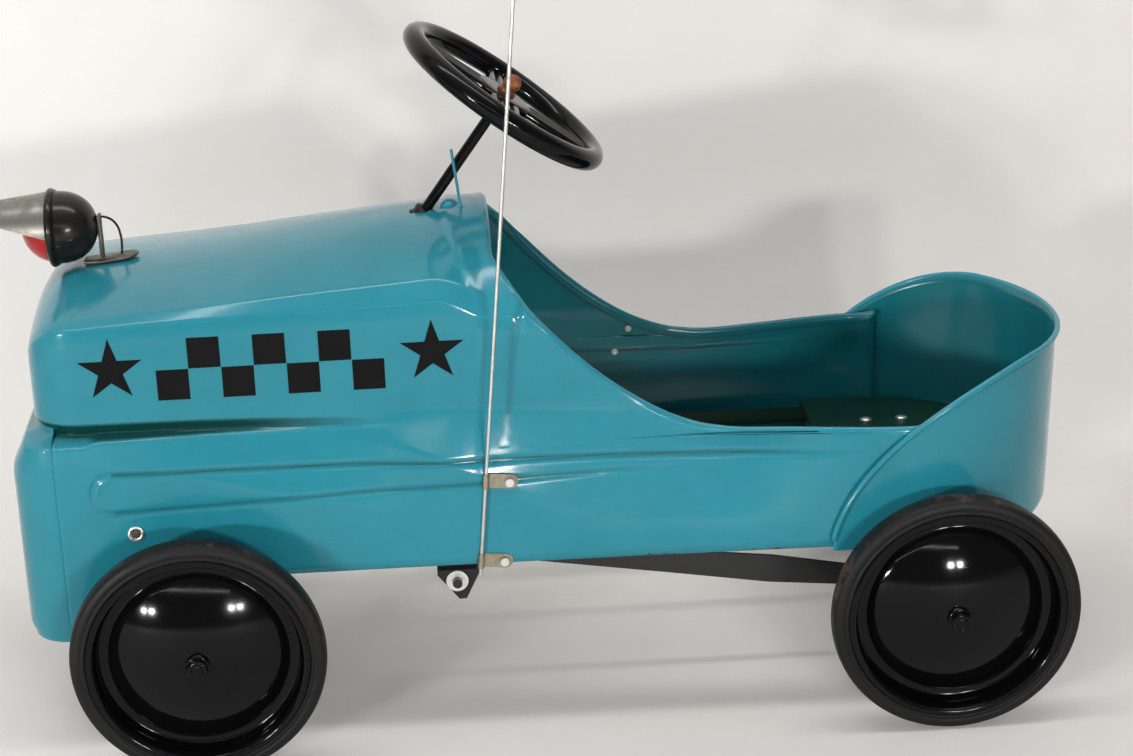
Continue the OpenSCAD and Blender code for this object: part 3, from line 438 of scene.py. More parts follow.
# %% Skin: the orange peel of spray, or the grain of moulded rubber
SKIN, i, o = new_group("skin", {"Size": 160.0, "Fine share": 0.3}, ["Height"])
where = object_place(SKIN)
wire(noise(where, i["Size"], 1, 0.4) + noise(where, i["Size"] * 5.0, 2, 0.5) * i["Fine share"], o["Height"])
print("effects:", [g.name for g in (MOTTLE, DUST, WEAR, SCRATCHES, SKIN)])


# %% Starting a material
def start_material(name, **fixed):
    """A material, its tree and the inputs of its Principled shader, where the fixed values go."""
    material = bpy.data.materials.new(name)
    material.use_nodes = True
    shader = material.node_tree.nodes["Principled BSDF"].inputs
    for socket, value in fixed.items():
        shader[socket.replace("_", " ")].default_value = value
    return material, material.node_tree, shader


def bump(shader, height, strength, distance):
    values = {"Height": height, "Strength": strength, "Distance": distance}
    wire(add(height.tree, "ShaderNodeBump", values)["Normal"], shader["Normal"])


def srgb(r, g, b):
    """A colour as read off a screen, 0 to 255, turned into the linear values of a shader."""
    shares = (c / 255 for c in (r, g, b))
    return (*(c / 12.92 if c <= 0.04045 else ((c + 0.055) / 1.055) ** 2.4 for c in shares), 1.0)


# %% [markdown]
# Enamel on thin steel: a saturated body colour under a clear glossy surface. The gloss comes from
# a low roughness and a coat, and both are broken a little by orange peel and hairlines, which is
# what makes the long highlights along the hood look drawn rather than printed. Creases and overhangs
# are darkened as painted shade, and the worn edge shows a darker, duller tone.

# %% Gloss enamel in its colours: tone, second tone, painted shade in creases, worn edges, dust
def enamel(name, *tones, rough, wear=0.35, dust=0.06, peel=0.12, coat=0.0, shine=0.5):
    tone, second, crease, worn, dust_tone = (srgb(*t) for t in tones)
    material, tree, shader = start_material(name, Coat_Roughness=0.04, Coat_IOR=1.5, Specular_IOR_Level=shine)
    base = use(tree, MOTTLE, Tone=tone, Second_tone=second, Size=7.0, Strength=0.55)
    chips = use(tree, WEAR, Near_edge=painted_mask(tree, "edge"), Amount=wear, Grain=210.0)["Mask"]
    settled = use(tree, DUST, Amount=dust, Patch_size=12.0)["Mask"]
    hair = use(tree, SCRATCHES, Amount=0.5, Spacing=700.0)
    # The mask read here turns the colour towards the shade tone: painted shade in creases and under
    # overhangs.
    colour = blend(painted_mask(tree, "crease"), base["Colour"], crease)
    colour = blend(hair["Mask"] * 0.3, blend(settled, colour, dust_tone), dust_tone)
    wire(blend(chips, colour, worn), shader["Base Color"])
    dull = settled * 0.35 + base["Drift"] * 0.05 + chips * 0.4
    wire(dull.math("ADD", dull, rough, clamped=True), shader["Roughness"])
    wire((1.0 - chips) * coat, shader["Coat Weight"])
    skin = use(tree, SKIN, Size=150.0, Fine_share=0.25)["Height"]
    bump(shader, skin * 0.6 + hair["Height"] * 0.25 - chips * 0.4, peel, 0.0006)
    return material


TEAL = enamel("teal_enamel", (38, 125, 140), (29, 115, 130), (6, 56, 54), (60, 70, 62), (110, 155, 156),
              rough=0.13, dust=0.1, coat=0.08, shine=0.32)
# Inside copy of the teal: rougher and less even, and its darker tones are painted shade inside the body.
SHADED_INNER_TEAL = enamel("teal_enamel_inside", (18, 100, 108), (12, 86, 94), (8, 50, 50), (70, 60, 48),
                    (80, 116, 114), rough=0.2, peel=0.3, coat=0.1, shine=0.42)
DEEP_GREEN = enamel("deep_green_enamel", (8, 46, 37), (5, 34, 28), (3, 18, 15), (80, 86, 76), (50, 76, 68),
                    rough=0.34, wear=0.4, dust=0.15, shine=0.3)
BLACK = enamel("black_enamel", (9, 9, 10), (6, 6, 7), (4, 4, 4), (60, 46, 38), (70, 68, 64),
               rough=0.07, wear=0.15, dust=0.02, peel=0.05, shine=0.18)
CHASSIS_BLACK = enamel("chassis_black", (12, 12, 13), (20, 18, 17), (5, 5, 5), (86, 62, 46), (96, 92, 86),
                       rough=0.38, wear=0.5, dust=0.35, peel=0.3, coat=0.1)
print("enamels made")

# %% [markdown]
# ## Rubber, bare metals, glass
# The tyres are old hard rubber, black gone a little brown, scuffed on the tread and dusty in the
# flutes. The clips, mast and washers are plated steel; the lamp is dark varnish; the visor is a
# bright pressed reflector; the lens is red pressed glass.

# %% Rubber
def rubber(name, tone, second, rough):
    material, tree, shader = start_material(name, Specular_IOR_Level=0.22)
    base = use(tree, MOTTLE, Tone=srgb(*tone), Second_tone=srgb(*second), Size=22.0, Strength=0.8)
    scuffed = use(tree, WEAR, Near_edge=painted_mask(tree, "edge"), Amount=0.34, Grain=120.0)["Mask"]
    settled = use(tree, DUST, Amount=0.07, Patch_size=30.0)["Mask"]
    colour = blend(settled, blend(scuffed, base["Colour"], srgb(66, 48, 38)), srgb(112, 104, 96))
    wire(colour, shader["Base Color"])
    wire(base["Drift"] * 0.14 + rough, shader["Roughness"])
    bump(shader, use(tree, SKIN, Size=420.0, Fine_share=0.6)["Height"] - scuffed * 0.5, 0.25, 0.0006)
    return material


TYRE = rubber("tyre_rubber", (12, 12, 12), (22, 20, 19), 0.46)
PAD = rubber("pad_rubber", (28, 28, 30), (40, 39, 40), 0.55)


# %% Plated, bare and rusty metal
def metal(name, tone, tarnish, rust, rough, tarnished, rusty, grain=90.0, metallic=1.0):
    material, tree, shader = start_material(name)
    base = use(tree, MOTTLE, Tone=srgb(*tone), Second_tone=srgb(*tarnish), Size=grain, Strength=tarnished)
    spots = use(tree, WEAR, Near_edge=rusty, Amount=1.0, Grain=grain * 6)["Mask"]
    hair = use(tree, SCRATCHES, Amount=0.8, Spacing=1400.0)
    wire(blend(spots, base["Colour"], srgb(*rust)), shader["Base Color"])
    wire((1.0 - spots * 0.9) * metallic, shader["Metallic"])
    wire(spots * 0.4 + base["Drift"] * 0.18 + rough, shader["Roughness"])
    bump(shader, use(tree, SKIN, Size=500.0, Fine_share=0.5)["Height"] * 0.4 + hair["Height"], 0.2, 0.0004)
    return material


PLATED = metal("zinc_plate", (164, 158, 140), (126, 119, 98), (112, 84, 56), 0.34, 0.7, 0.12)
BRIGHT = metal("bright_plate", (226, 226, 222), (180, 178, 172), (120, 96, 70), 0.34, 0.4, 0.05)
MAST = metal("drawn_steel", (214, 213, 208), (160, 158, 150), (120, 100, 80), 0.3, 0.5, 0.05)
DARK_STEEL = metal("dark_steel", (110, 106, 98), (66, 62, 56), (74, 50, 36), 0.42, 0.7, 0.25)
BRONZE = metal("bronze_bush", (150, 118, 70), (96, 76, 48), (60, 46, 32), 0.38, 0.6, 0.1)
RUSTY = metal("rusty_nut", (158, 98, 52), (112, 64, 36), (84, 46, 28), 0.5, 0.9, 0.35, 160.0, 0.15)
PEAK = metal("pale_peak", (128, 125, 118), (98, 94, 86), (110, 92, 66), 0.3, 0.7, 0.1, 60.0, 0.7)
BROWN_VARNISH = enamel("brown_varnish", (24, 21, 19), (46, 36, 26), (12, 10, 9), (110, 84, 62), (90, 82, 72),
                       rough=0.2, wear=0.3, peel=0.3, coat=0.05, shine=0.25)
FILM = enamel("black_film", (7, 7, 9), (12, 12, 13), (4, 4, 4), (30, 60, 64), (40, 50, 52),
              rough=0.34, wear=0.25, dust=0.02, peel=0.08, shine=0.12)
WIRE = rubber("wire_sheath", (14, 14, 15), (26, 26, 27), 0.4)


# %% Red lens, bulb
def glass(name, tone, rough, weight):
    material, tree, shader = start_material(name, IOR=1.46, Transmission_Weight=weight)
    r, g, b, _ = srgb(*tone)
    base = use(tree, MOTTLE, Tone=(r, g, b, 1), Second_tone=(r * 0.7, g * 0.6, b * 0.6, 1),
               Size=60.0, Strength=0.5)
    wire(base["Colour"], shader["Base Color"])
    wire(base["Drift"] * 0.06 + rough, shader["Roughness"])
    bump(shader, use(tree, SKIN, Size=220.0, Fine_share=0.3)["Height"], 0.15, 0.0008)
    return material


RED_GLASS = glass("red_lens_glass", (168, 3, 8), 0.2, 0.12)
BULB_GLASS = glass("bulb_glass", (250, 236, 200), 0.08, 0.8)
print("materials:", len(bpy.data.materials))

# %% [markdown]
# ## The body sheet: its reference lines
# The hood and both sides are one pressing. Along the car the hood rises towards the cowl and its
# crown gets rounder; the sides are upright over a waist crease and bulge out under it, until
# near the seat they flatten and run into the tub. These are the lines a pattern maker would draw
# first, each one a function of the place along the car.

# %% Lines of the body
NOSE_X, NOSE_R, COWL_X = 122.0, 40.0, 246.0
NOSE_C = -NOSE_X + NOSE_R
SEAM_X = NOSE_C - NOSE_R * math.sin(math.radians(35))
WAIST_Z, SILL_Z, CHIN_Z, RIM_Z, RIM_X = 284.0, 150.0, 101.0, 247.0, 450.0
UPPER_Y, LOWER_Y, CROWN_Y = 118.0, 131.0, 106.0
TUB_CX, TUB_R = 578.0, 146.0
IN_TUB = TUB_R - WALL - 0.3
BODY_END = TUB_CX + 22
ARCH_R = 78.0
RIM_STEEP = (RIM_X - (COWL_X + 19)) / math.sqrt(119)
HOOD_START, HOOD_LOW, HOOD_HIGH, NOSE_DROP = -77, 385, 414, 6
CROWN_FLAT, CROWN_ROUND, COWL_ROUND = 430, 232, 86
LOWER_RUN, TAIL_TAPER = 664.9, 7


def hood_z(x):
    climb = clamp((x - HOOD_START) / (COWL_X - HOOD_START))
    return mix(HOOD_LOW, HOOD_HIGH, climb) - mix(NOSE_DROP, 0, rise(x, -10, 180))


def crown_r(x):
    """Radius of the crown across the car."""
    return mix(CROWN_FLAT, CROWN_ROUND, rise(x, -100, 195)) - COWL_ROUND * rise(x, 195, 245)


def shoulder_1(x):
    """Height of the upper bend between the crown and the side."""
    return hood_z(x) - crown_r(x) + np.sqrt(crown_r(x) ** 2 - CROWN_Y ** 2)


def shoulder_2(x):
    """Height of the lower bend."""
    return shoulder_1(x) - mix(5, 15, rise(x, -100, 220))


def side_top(x):
    """Half-width over the waist."""
    return mix(UPPER_Y, IN_TUB, rise(x, 420, 590))


def side_low(x):
    """Half-width under the waist."""
    return mix(LOWER_Y, IN_TUB, clamp((x - SEAM_X) / LOWER_RUN) ** 2)


def tail_in(x):
    """How far the sides draw in round the tub."""
    d = np.maximum(0, x - TUB_CX)
    return IN_TUB - np.sqrt(IN_TUB ** 2 - d ** 2) + d / TAIL_TAPER


def bottom_z(x):
    """Height of the lower edge, with the arch over the front wheel."""
    arch = np.where(np.abs(x) < ARCH_R, AXLE_Z + np.sqrt(np.maximum(0, ARCH_R ** 2 - x ** 2)), 0)
    return np.maximum(np.where(x < 0, CHIN_Z, SILL_Z), arch)


# %% [markdown]
# The waist is where the sheet is most worked. At the nose the upper side turns in under itself,
# a ledge comes back out, and a small bend drops into the lower side. Towards the cowl all three
# run together and vanish. The profile is a polyline of four corners whose places change along
# the car, rounded by averaging over a few millimetres of height.

# %% Waist profile
LEDGE_X = [-110, -78, -70, -27, 12, 60, 130, 168, 230]
LEDGE = {
    "under z": [281.4, 281.3, 281.2, 280.9, 280.4, 278.8, 275.2, 272.6, 272],
    "root z": [272, 272, 272, 272, 272, 271.8, 271.5, 271.4, 271],
    "root y": [112.6, 112.8, 113, 113.6, 114.4, 115.6, 117.4, 118, 118.2],
    "bend z": [267.6, 267.6, 271.6, 271.8, 271, 270, 268, 268, 268],
    "bend y": [129.6, 129.4, 128.4, 126.2, 123.6, 121.6, 119.6, 118.6, 118.6],
    "full z": [254, 254, 252, 244, 234, 222, 206, 200, 198],
}
LEDGE_END, SMOOTHING = 230, 9


def waist_profile(x, z):
    """Half-width near the waist for one place along the car, at many heights."""
    corner = {k: float(np.interp(x, LEDGE_X, v)) for k, v in LEDGE.items()}
    low = float(side_low(x))
    heights = [100, corner["full z"], corner["bend z"], corner["root z"], corner["under z"], 300]
    widths = [low, low, corner["bend y"], corner["root y"], UPPER_Y, UPPER_Y]
    fine = np.arange(140, 300.1, 0.5)
    kernel = np.hanning(SMOOTHING)
    y = np.pad(np.interp(fine, heights, widths), SMOOTHING // 2, mode="edge")
    return np.interp(z, fine, np.convolve(y, kernel / kernel.sum(), mode="valid"))


def bulge_z(x):
    """Height over which the side starts to draw in."""
    return mix(260, 162, rise(x, 120, 370))


def nearly_straight(t, bend):
    """From 0 to 1 in a straight line whose two ends bend softly over a share of the way."""
    c, slope = clamp(t), 1 / (1 - bend)
    lower, upper = slope * c ** 2 / (2 * bend), 1 - slope * (1 - c) ** 2 / (2 * bend)
    return np.where(c < bend, lower, np.where(c > 1 - bend, upper, slope * (c - bend / 2)))


def side_y(x, z):
    """Half-width of the side, for grids of places x and heights z."""
    climb = nearly_straight((z - bulge_z(x)) / (WAIST_Z - 2 - bulge_z(x)), 0.14)
    plain = mix(side_low(x), side_top(x), climb)
    worked = np.array(plain, float)
    for i, (row, high) in enumerate(zip(x, z)):
        if row.min() < LEDGE_END and np.ptp(row) <= 0.01:
            worked[i] = waist_profile(row[0], high)
        elif row.min() < LEDGE_END:
            worked[i] = [waist_profile(a, b) for a, b in zip(row, high)]
    return mix(worked, plain, rise(x, 120, 220)) - tail_in(x)


def side_at(x, z):
    return float(side_y(np.array([[float(x)]]), np.array([[float(z)]]))[0, 0])


# %% [markdown]
# The speed panel is a shallow groove pressed into the lower side. It starts as a rounded end near
# the nose and runs back as two lines that draw together. The cowl carries a soft raised band that
# follows the cockpit opening. Both are distances to a curve, turned into a small push in or out.

# %% Pressed lines
GROOVE_X, GROOVE_TOP_END, GROOVE_LOW_END = -60.0, 560, 410
GROOVE_TOP = [-61, 227, 263, 487, 560], [243.5, 237.2, 236.4, 230, 228]
GROOVE_BOTTOM = [-61, 227, 263, 406], [210.5, 219.6, 220.6, 223]
BAND_FRONT = [150, 168, 238, 306, 340, 367], [226, 227, 230, 234, 236, 238]
BAND_CROWN = [0, 40, 86, 100, 116], [213, 213.8, 222.3, 228.4, 237]
BAND_REAR = [150, 157, 267, 330, 357, 372], [231, 236.4, 254, 263, 270, 300]
BAND_RISE = [150, 260, 300, 340, 420], [0.25, 0.25, 0.3, 1.4, 2.2]


def ridge(distance, width):
    return np.exp(-((distance / width) ** 2))


def panel_groove(x, z):
    """Depth of the speed panel's groove, with the small lip inside its front end."""
    top, bottom = np.interp(x, *GROOVE_TOP), np.interp(x, *GROOVE_BOTTOM)
    end = np.hypot(np.minimum(x - GROOVE_X, 0), z - (top + bottom) / 2) - (top - bottom) / 2
    ahead = x < GROOVE_X
    gap_top, gap_bottom = (np.where(ahead, np.abs(end), np.abs(z - edge)) for edge in (top, bottom))
    deep = np.maximum(1.5 * (1 - ease((x - GROOVE_TOP_END + 90) / 90)) * ridge(gap_top, 1.9),
                      1.3 * (1 - ease((x - GROOVE_LOW_END + 110) / 110)) * ridge(gap_bottom, 1.7))
    inside = np.where(ahead, end < 0, (z < top) & (z > bottom))
    lip = (1 - rise(x, -66, -48)) * ridge(end + 3.4, 2.4) * inside * (x < GROOVE_X + 8)
    return deep - 1.1 * lip


def cowl_band(x, z, y):
    """Height of the raised band round the cowl, for the sides and the crown."""
    front = np.interp(z, *BAND_FRONT)
    front = np.where(z > 366, np.minimum(front, np.interp(np.abs(y), *BAND_CROWN)), front)
    rear = np.interp(z, *BAND_REAR)
    return np.interp(z, *BAND_RISE) * ease((x - front + 2.5) / 5) * (1 - ease((x - rear + 2.5) / 5))


# %% [markdown]
# ## The body sheet: the grid
# Rows stand across the car and columns run along it. Columns over the seat's height end on the
# cockpit edge, so the opening needs no cutting: the grid simply stops there. In front the rows
# swing round the nose, and the last ones close the front face. The lower front is a separate
# pressing on the real car, so the sheet has no cells there.

# %% Columns: one half section as heights
LOW_TOP, UP_START, UP_END = 205, 287.4, 14
RIM_STEPS = (0.0, 0.25, 0.7, 1.4, 2.3, 3.4, 4.7, 6.2, 8.0, 10.0, 12.2, 14.5)
LEVELS = [("part", t) for t in np.linspace(0, 1, 9)[:-1]]
LEVELS += [("z", z) for z in np.arange(LOW_TOP, 246.9, 1.75)]
LEVELS += [("z", RIM_Z + v) for v in RIM_STEPS]
LEVELS += [("z", z) for z in np.arange(263.2, 287, 1.2)]
LEVELS += [("up", t) for t in np.linspace(0, 1, 17)]
FIRST_UPPER = next(i for i, v in enumerate(LEVELS) if v[0] == "z" and v[1] >= 271.5)
RIM_COL = LEVELS.index(("z", RIM_Z))
print("half section:", len(LEVELS), "points below the shoulder, hood from", FIRST_UPPER)


def rounded(a, b, c, before, after, count):
    """Points of a small bend at b, between the lines a-b and b-c."""
    a, b, c = (np.array(p, float) for p in (a, b, c))
    s, e = b + (a - b) / np.linalg.norm(a - b) * before, b + (c - b) / np.linalg.norm(c - b) * after
    t = np.linspace(0, 1, count)[:, None]
    return ((1 - t) ** 2 * s + 2 * t * (1 - t) * b + t ** 2 * e).tolist()


def arc_section(x):
    """The upper part of a section, (y, z) from the top of the side to the centre line."""
    s1, s2, r, top = float(shoulder_1(x)), float(shoulder_2(x)), float(crown_r(x)), float(hood_z(x))

    def crown(y):
        return y, top - r + math.sqrt(r * r - y * y)

    low, high = (UPPER_Y - 2, s2), (CROWN_Y, s1)
    reach = min(2.4, 0.3 * math.dist(low, high))
    points = [(117.3, s2 - 9)]
    points += rounded((UPPER_Y, s2 - UP_END), low, high, 2.6, reach, 7)
    points += rounded(low, high, crown(98), reach, 3.0, 7)
    return np.array(points + [crown(y) for y in np.linspace(95, 0, 17)])


# %% Rows: round the nose, over the wheel arch, along the hood, to the cockpit edge
NOSE_TURNS, FACE_SHARES = range(90, 0, -5), (0.0, 0.12, 0.3, 0.5, 0.7, 0.87)
REAR_START, NOSE_FULL = 238.0, 35
ARCH_TURNS = np.radians(np.linspace(180, math.degrees(math.asin((SILL_Z - AXLE_Z) / ARCH_R)), 38))
FIRST_FULL = len(FACE_SHARES) + sum(turn > NOSE_FULL for turn in NOSE_TURNS)


def level_heights(x):
    """Heights of the columns below the shoulder at one place along the car."""
    spans = {"part": (float(bottom_z(np.array(x))), LOW_TOP), "up": (UP_START, float(shoulder_2(x)) - UP_END)}
    return np.array([v if kind == "z" else mix(*spans[kind], v) for kind, v in LEVELS])


def row_end(z):
    """Where the column at this height ends: at the tub, or on the cockpit edge."""
    climb = RIM_X - RIM_STEEP * np.sqrt(np.maximum(0, z - RIM_Z))
    return np.where(z < RIM_Z + 0.1, BODY_END, np.maximum(COWL_X, climb))


def plain_row(x):
    """x, y, z of a whole half section, without the pressed lines."""
    z = level_heights(x)
    y = side_y(np.full((1, len(z)), float(x)), z[None])[0]
    arc_y, arc_z = arc_section(float(x)).T
    y = np.concatenate([y, arc_y])
    return np.full(len(y), float(x)), y, np.concatenate([z, arc_z])


def nose_row(turn, share):
    """A row round the nose. Share is less than 1 on the front face, where rows are narrower."""
    _, y0, z0 = plain_row(NOSE_C)
    a = math.radians(turn)
    d = NOSE_R * (1 - math.cos(a))
    base = NOSE_C - NOSE_R * math.sin(a)
    lower = plain_row(base)[1] if turn <= NOSE_FULL else y0
    below = np.arange(len(z0)) < FIRST_UPPER
    tuck = np.clip(np.where(z0 < WAIST_Z - 1, UPPER_Y - y0, 0), 0, 8)
    x = np.where(below, base, NOSE_C - (NOSE_R - tuck) * math.sin(a))
    upper = np.where(z0 < WAIST_Z, UPPER_Y - d - tuck * math.cos(a), y0 * (1 - d / UPPER_Y))
    y = np.where(below, mix(lower, lower - d, rise(z0, 267.0, 271.5)), upper)
    z = z0 - d * clamp((z0 - WAIST_Z) / (z0[-1] - WAIST_Z))
    if share < 1:
        y = y * share
        x = x - 1.5 * (1 - share * share) * clamp((z - WAIST_Z) / 12)
    return x, y, z


def rear_row(t):
    """A row between the cowl and the cockpit edge, where each column has its own end."""
    low = len(LEVELS)
    xs = mix(REAR_START, row_end(plain_row(COWL_X)[2]), t)
    z = np.array([level_heights(x)[k] for k, x in enumerate(xs[:low])])
    arc = np.array([arc_section(float(x))[k] for k, x in enumerate(xs[low:])])
    y = side_y(xs[None, :low], z[None])[0]
    return xs, np.concatenate([y, arc[:, 0]]), np.concatenate([z, arc[:, 1]])


def shell_rows():
    """x, y and z grids of the half shell, front to rear."""
    along = [NOSE_C, -80.0, *(ARCH_R * math.cos(a) for a in ARCH_TURNS)]
    along += [*np.arange(65, 204, 4.0), *np.arange(204, 239, 2.0)]
    rows = [nose_row(90, share) for share in FACE_SHARES] + [nose_row(turn, 1) for turn in NOSE_TURNS]
    rows += [plain_row(x) for x in along] + [rear_row(t) for t in np.linspace(0, 1, 47)[1:]]
    x, y, z = (np.array(grid) for grid in zip(*rows))
    band = cowl_band(x, z, y)
    crown = clamp((z - shoulder_2(x) + 10) / 20)
    push = panel_groove(x, z) * (z < 262) * (x > SEAM_X) * (y > 50)
    return x, y - push + band * (1 - crown), z + band * crown


shell_x, shell_y, shell_z = shell_rows()
print("half grid:", shell_x.shape, "first full row", FIRST_FULL)


# %% Mirror, make the mesh, paint the masks for wear and for painted shade in the creases
def build_shell():
    x, y, z = (np.concatenate([side * g, g[:, -2::-1]], 1)
               for side, g in ((1, shell_x), (-1, shell_y), (1, shell_z)))
    rows, cols = x.shape
    keep = np.ones((rows - 1, cols - 1), bool)
    keep[:FIRST_FULL, :FIRST_UPPER] = False
    keep[:FIRST_FULL, cols - 1 - FIRST_UPPER:] = False
    obj = new_object("hood_and_sides", place(np.stack([x, y, z], -1)), grid_faces(rows, cols, keep=keep))
    near = np.maximum(ridge(z - np.maximum(bottom_z(x), CHIN_Z), 3.0),
                      ridge(row_end(np.minimum(z, 366)) - x, 4.0) * (x > 240))
    # The second mask is painted shade: the underside of the waist overhang and the two groove lines are
    # darkened where shade falls.
    overhang = np.interp(x, LEDGE_X, LEDGE["under z"]) + 0.6
    shade_mask = ease((z - 269.6) / 2.2) * (1 - ease((z - overhang) / 1.6))
    shade_mask = shade_mask * (1 - ease((x - 40) / 135)) * (np.abs(y) > 60)
    for line, dark, fade, reach in ((GROOVE_TOP, 0.75, 430, 100), (GROOVE_BOTTOM, 0.55, 280, 110)):
        drawn = dark * ridge(z - np.interp(x, *line), 1.4) * (x > GROOVE_X) * (1 - ease((x - fade) / reach))
        shade_mask = np.maximum(shade_mask, drawn)
    paint_mask(obj, "edge", near.ravel())
    paint_mask(obj, "crease", shade_mask.ravel())
    with editing(tidy(obj)) as work:
        bmesh.ops.delete(work, geom=[v for v in work.verts if not v.link_faces], context="VERTS")
        if max(work.faces, key=lambda f: f.calc_center_median().z).normal.z < 0:
            bmesh.ops.reverse_faces(work, faces=work.faces)
    return obj


hood = build_shell()
print("hood:", len(hood.data.vertices), "points,", len(hood.data.polygons), "faces")


# %% [markdown]
# ## Thickening
# The sheet is given its wall inwards with Solidify. The inside of the real car is the same enamel,
# put on thinner and less even, and its tone is darker as painted shade inside the body, so the inner
# faces take a second material through Solidify's material offset.

# %% Wall of the body sheet
def two_sided(obj):
    return modified(painted(obj, TEAL, SHADED_INNER_TEAL), "SOLIDIFY", thickness=WALL / 1000, offset=-1,
                    use_even_offset=False, material_offset=1, material_offset_rim=0)


def pressed_sheet(name, grid, inside, node):
    """A sheet with its wall, from a grid of points, with its outer face away from a point inside."""
    obj = new_object(name, place(grid), grid_faces(*grid.shape[:2]))
    return dress(two_sided(facing(tidy(obj), inside)), "body", [node], "teal_paint")


dress(two_sided(hood), "body", ["body_shell"], "teal_paint")
print("hood with wall:", len(hood.data.polygons), "faces")

# %% [markdown]
# ## The rolled cockpit edge
# Round the cockpit the sheet is rolled inwards over a wire, so no raw edge meets the driver's arms.
# It is a tube with an oval section, taller than it is wide. Its path is read off the sheet itself:
# the level stretch beside the seat, then the last row of the grid up to the centre line. The tube
# could be a curve with a bevel, but a swept grid lets the oval keep its long axis in the sheet.

# %% Paths
def evenly(points, count):
    """The same path with evenly spaced points."""
    p = np.array(points, float)
    run = np.concatenate([[0], np.cumsum(np.linalg.norm(np.diff(p, axis=0), axis=1))])
    where = np.linspace(0, run[-1], count)
    return np.stack([np.interp(where, run, p[:, k]) for k in range(3)], 1)


def eased_path(points, passes):
    p = np.array(points, float)
    for _ in range(passes):
        p[1:-1] = (p[:-2] + 2 * p[1:-1] + p[2:]) / 4
    return p


def unit(rows):
    return rows / np.linalg.norm(rows, axis=1)[:, None]


# %% Rolled edge
ROLL_ACROSS, ROLL_TALL, ROLL_DROP = 3.2, 5.0, 1.5
rim = np.stack([shell_x, -shell_y, shell_z], -1)
level_part = [(x, y, RIM_Z) for x, y, _ in rim[::-1, RIM_COL] if x > RIM_X]
rim_line = eased_path(evenly(level_part + rim[-1, RIM_COL + 1:].tolist(), 150), 3)


def rolled_edge():
    full = np.concatenate([rim_line, (rim_line * [1, -1, 1])[-2::-1]])
    ahead, still = np.gradient(full, axis=0), np.zeros(len(full))
    # In the plane across the car the sheet runs along (dy, dz); square to it is inwards.
    section = np.stack([still, ahead[:, 2], -ahead[:, 1]], 1)
    level = np.abs(ahead[:, 0]) > 0.97 * np.linalg.norm(ahead, axis=1)
    section[level] = np.stack([still, -np.sign(full[:, 1]), still], 1)[level]
    inwards = unit(eased_path(unit(section), 6))
    off_sheet = -np.cross(unit(ahead), inwards)
    centre = full + inwards * ROLL_ACROSS - off_sheet * ROLL_DROP
    return sweep("cockpit_roll", centre, (ROLL_ACROSS, ROLL_TALL), off_sheet, 20)


roll = dress(rolled_edge(), "body", ["cockpit_edge"], "teal_paint", TEAL)
# The far side of the roll lies in its own shade, so it is painted a little darker.
paint_mask(roll, "crease", 0.6 * rise(car_points(roll.data)[:, 1], 70, 110))
print("rolled edge:", len(roll.data.polygons), "faces")

# %% [markdown]
# ## The lower nose
# The lower nose is its own pressing. It wraps both front corners, rolls under at the chin, and
# under the waist it steps in to a tongue that stands behind the upper nose. The outline is the same
# at every height, only drawn in, so the piece is rows of one outline stacked upwards.

# %% Lower nose
CHIN_X, TONGUE_R, LEDGE_TOP = 141.0, NOSE_R - WALL - 0.6, 271.5
CORNER_TURNS, FRONT_FLATS = 24, 12
NOSE_RISE = (0, 0.6, 1.6, 3, 5, 8, 12, 20, 30, 45, 65, 90, 115, 130, 139, 147, 153, 158, 162, 164.5)
NOSE_HEIGHTS = [CHIN_Z + h for h in NOSE_RISE] + [266.4, 267.2, 268, 268.8, 269.6, 270.4, LEDGE_TOP]
TONGUE_HEIGHTS = (273.5, 279, 285, 292)


def nose_line(z):
    """Where the front of the lower nose stands at one height."""
    roll_under = 4 * (1 - float(rise(z, CHIN_Z, CHIN_Z + 10)))
    return roll_under - mix(CHIN_X, NOSE_X + 3, float(rise(z, 240, WAIST_Z)))


def corner_line(centre, middle, r, start, z):
    """A bend of radius r round a front corner, then the flat front to the middle."""
    turns = np.linspace(start, math.pi / 2, CORNER_TURNS + (start > 0))
    points = [(centre - r * math.sin(a), -middle - r * math.cos(a), z) for a in turns]
    return points + [(points[-1][0], -middle * (1 - t), z) for t in np.linspace(0, 1, FRONT_FLATS + 1)[1:]]


def nose_outline(z):
    """Left half of the outline at one height, from the seam round the corner to the middle."""
    half = side_at(SEAM_X, min(z, LEDGE_TOP)) + 0.05
    front = nose_line(min(z, LEDGE_TOP))
    r = min(NOSE_R - 3, SEAM_X - front)
    start = [(SEAM_X, -half, z), (min(front + r, SEAM_X - 0.4), -half, z)]
    return start + corner_line(front + r, half - r, r, 0, z)[1:]


def tongue_outline(z):
    start = math.asin((NOSE_C - SEAM_X) / TONGUE_R)
    return corner_line(NOSE_C, side_at(SEAM_X, WAIST_Z) - NOSE_R, TONGUE_R, start, z)


half_rows = [nose_outline(z) for z in NOSE_HEIGHTS] + [tongue_outline(z) for z in TONGUE_HEIGHTS]
nose_grid = np.array([row + [(x, -y, z) for x, y, z in row[-2::-1]] for row in half_rows])
nose = pressed_sheet("lower_nose", nose_grid, (-60, 0, 200), "front_panel")
print("lower nose:", len(nose.data.polygons), "faces")

# %% [markdown]
# ## The tub
# The tub is a strip bent round the seat: straight at the sides, a half circle behind. Its top edge
# climbs in one curve from the sill to the back, and carries a wired bead. Its foot rolls under.
# Rows follow the plan, columns go up, and the bead is swept along the last column.

# %% Tub and bead
TUB_FRONT, TUB_Z, TUB_LOW, BEAD_R, FOOT_R = 512.0, 292.0, 136.0, 2.5, 12.0
STRAIGHTS, BENDS, CLIMB, TUB_LEAN = 30, 110, 1.62, 5


def tub_rim(x):
    """Height of the tub's top edge."""
    return SILL_Z + (TUB_Z - SILL_Z) * (1 - clamp((TUB_CX + 106 - x) / 172) ** CLIMB) ** (1 / CLIMB)


def tub_base(x):
    return mix(SILL_Z - 2, TUB_LOW, ease((x - TUB_FRONT - 20) / 130))


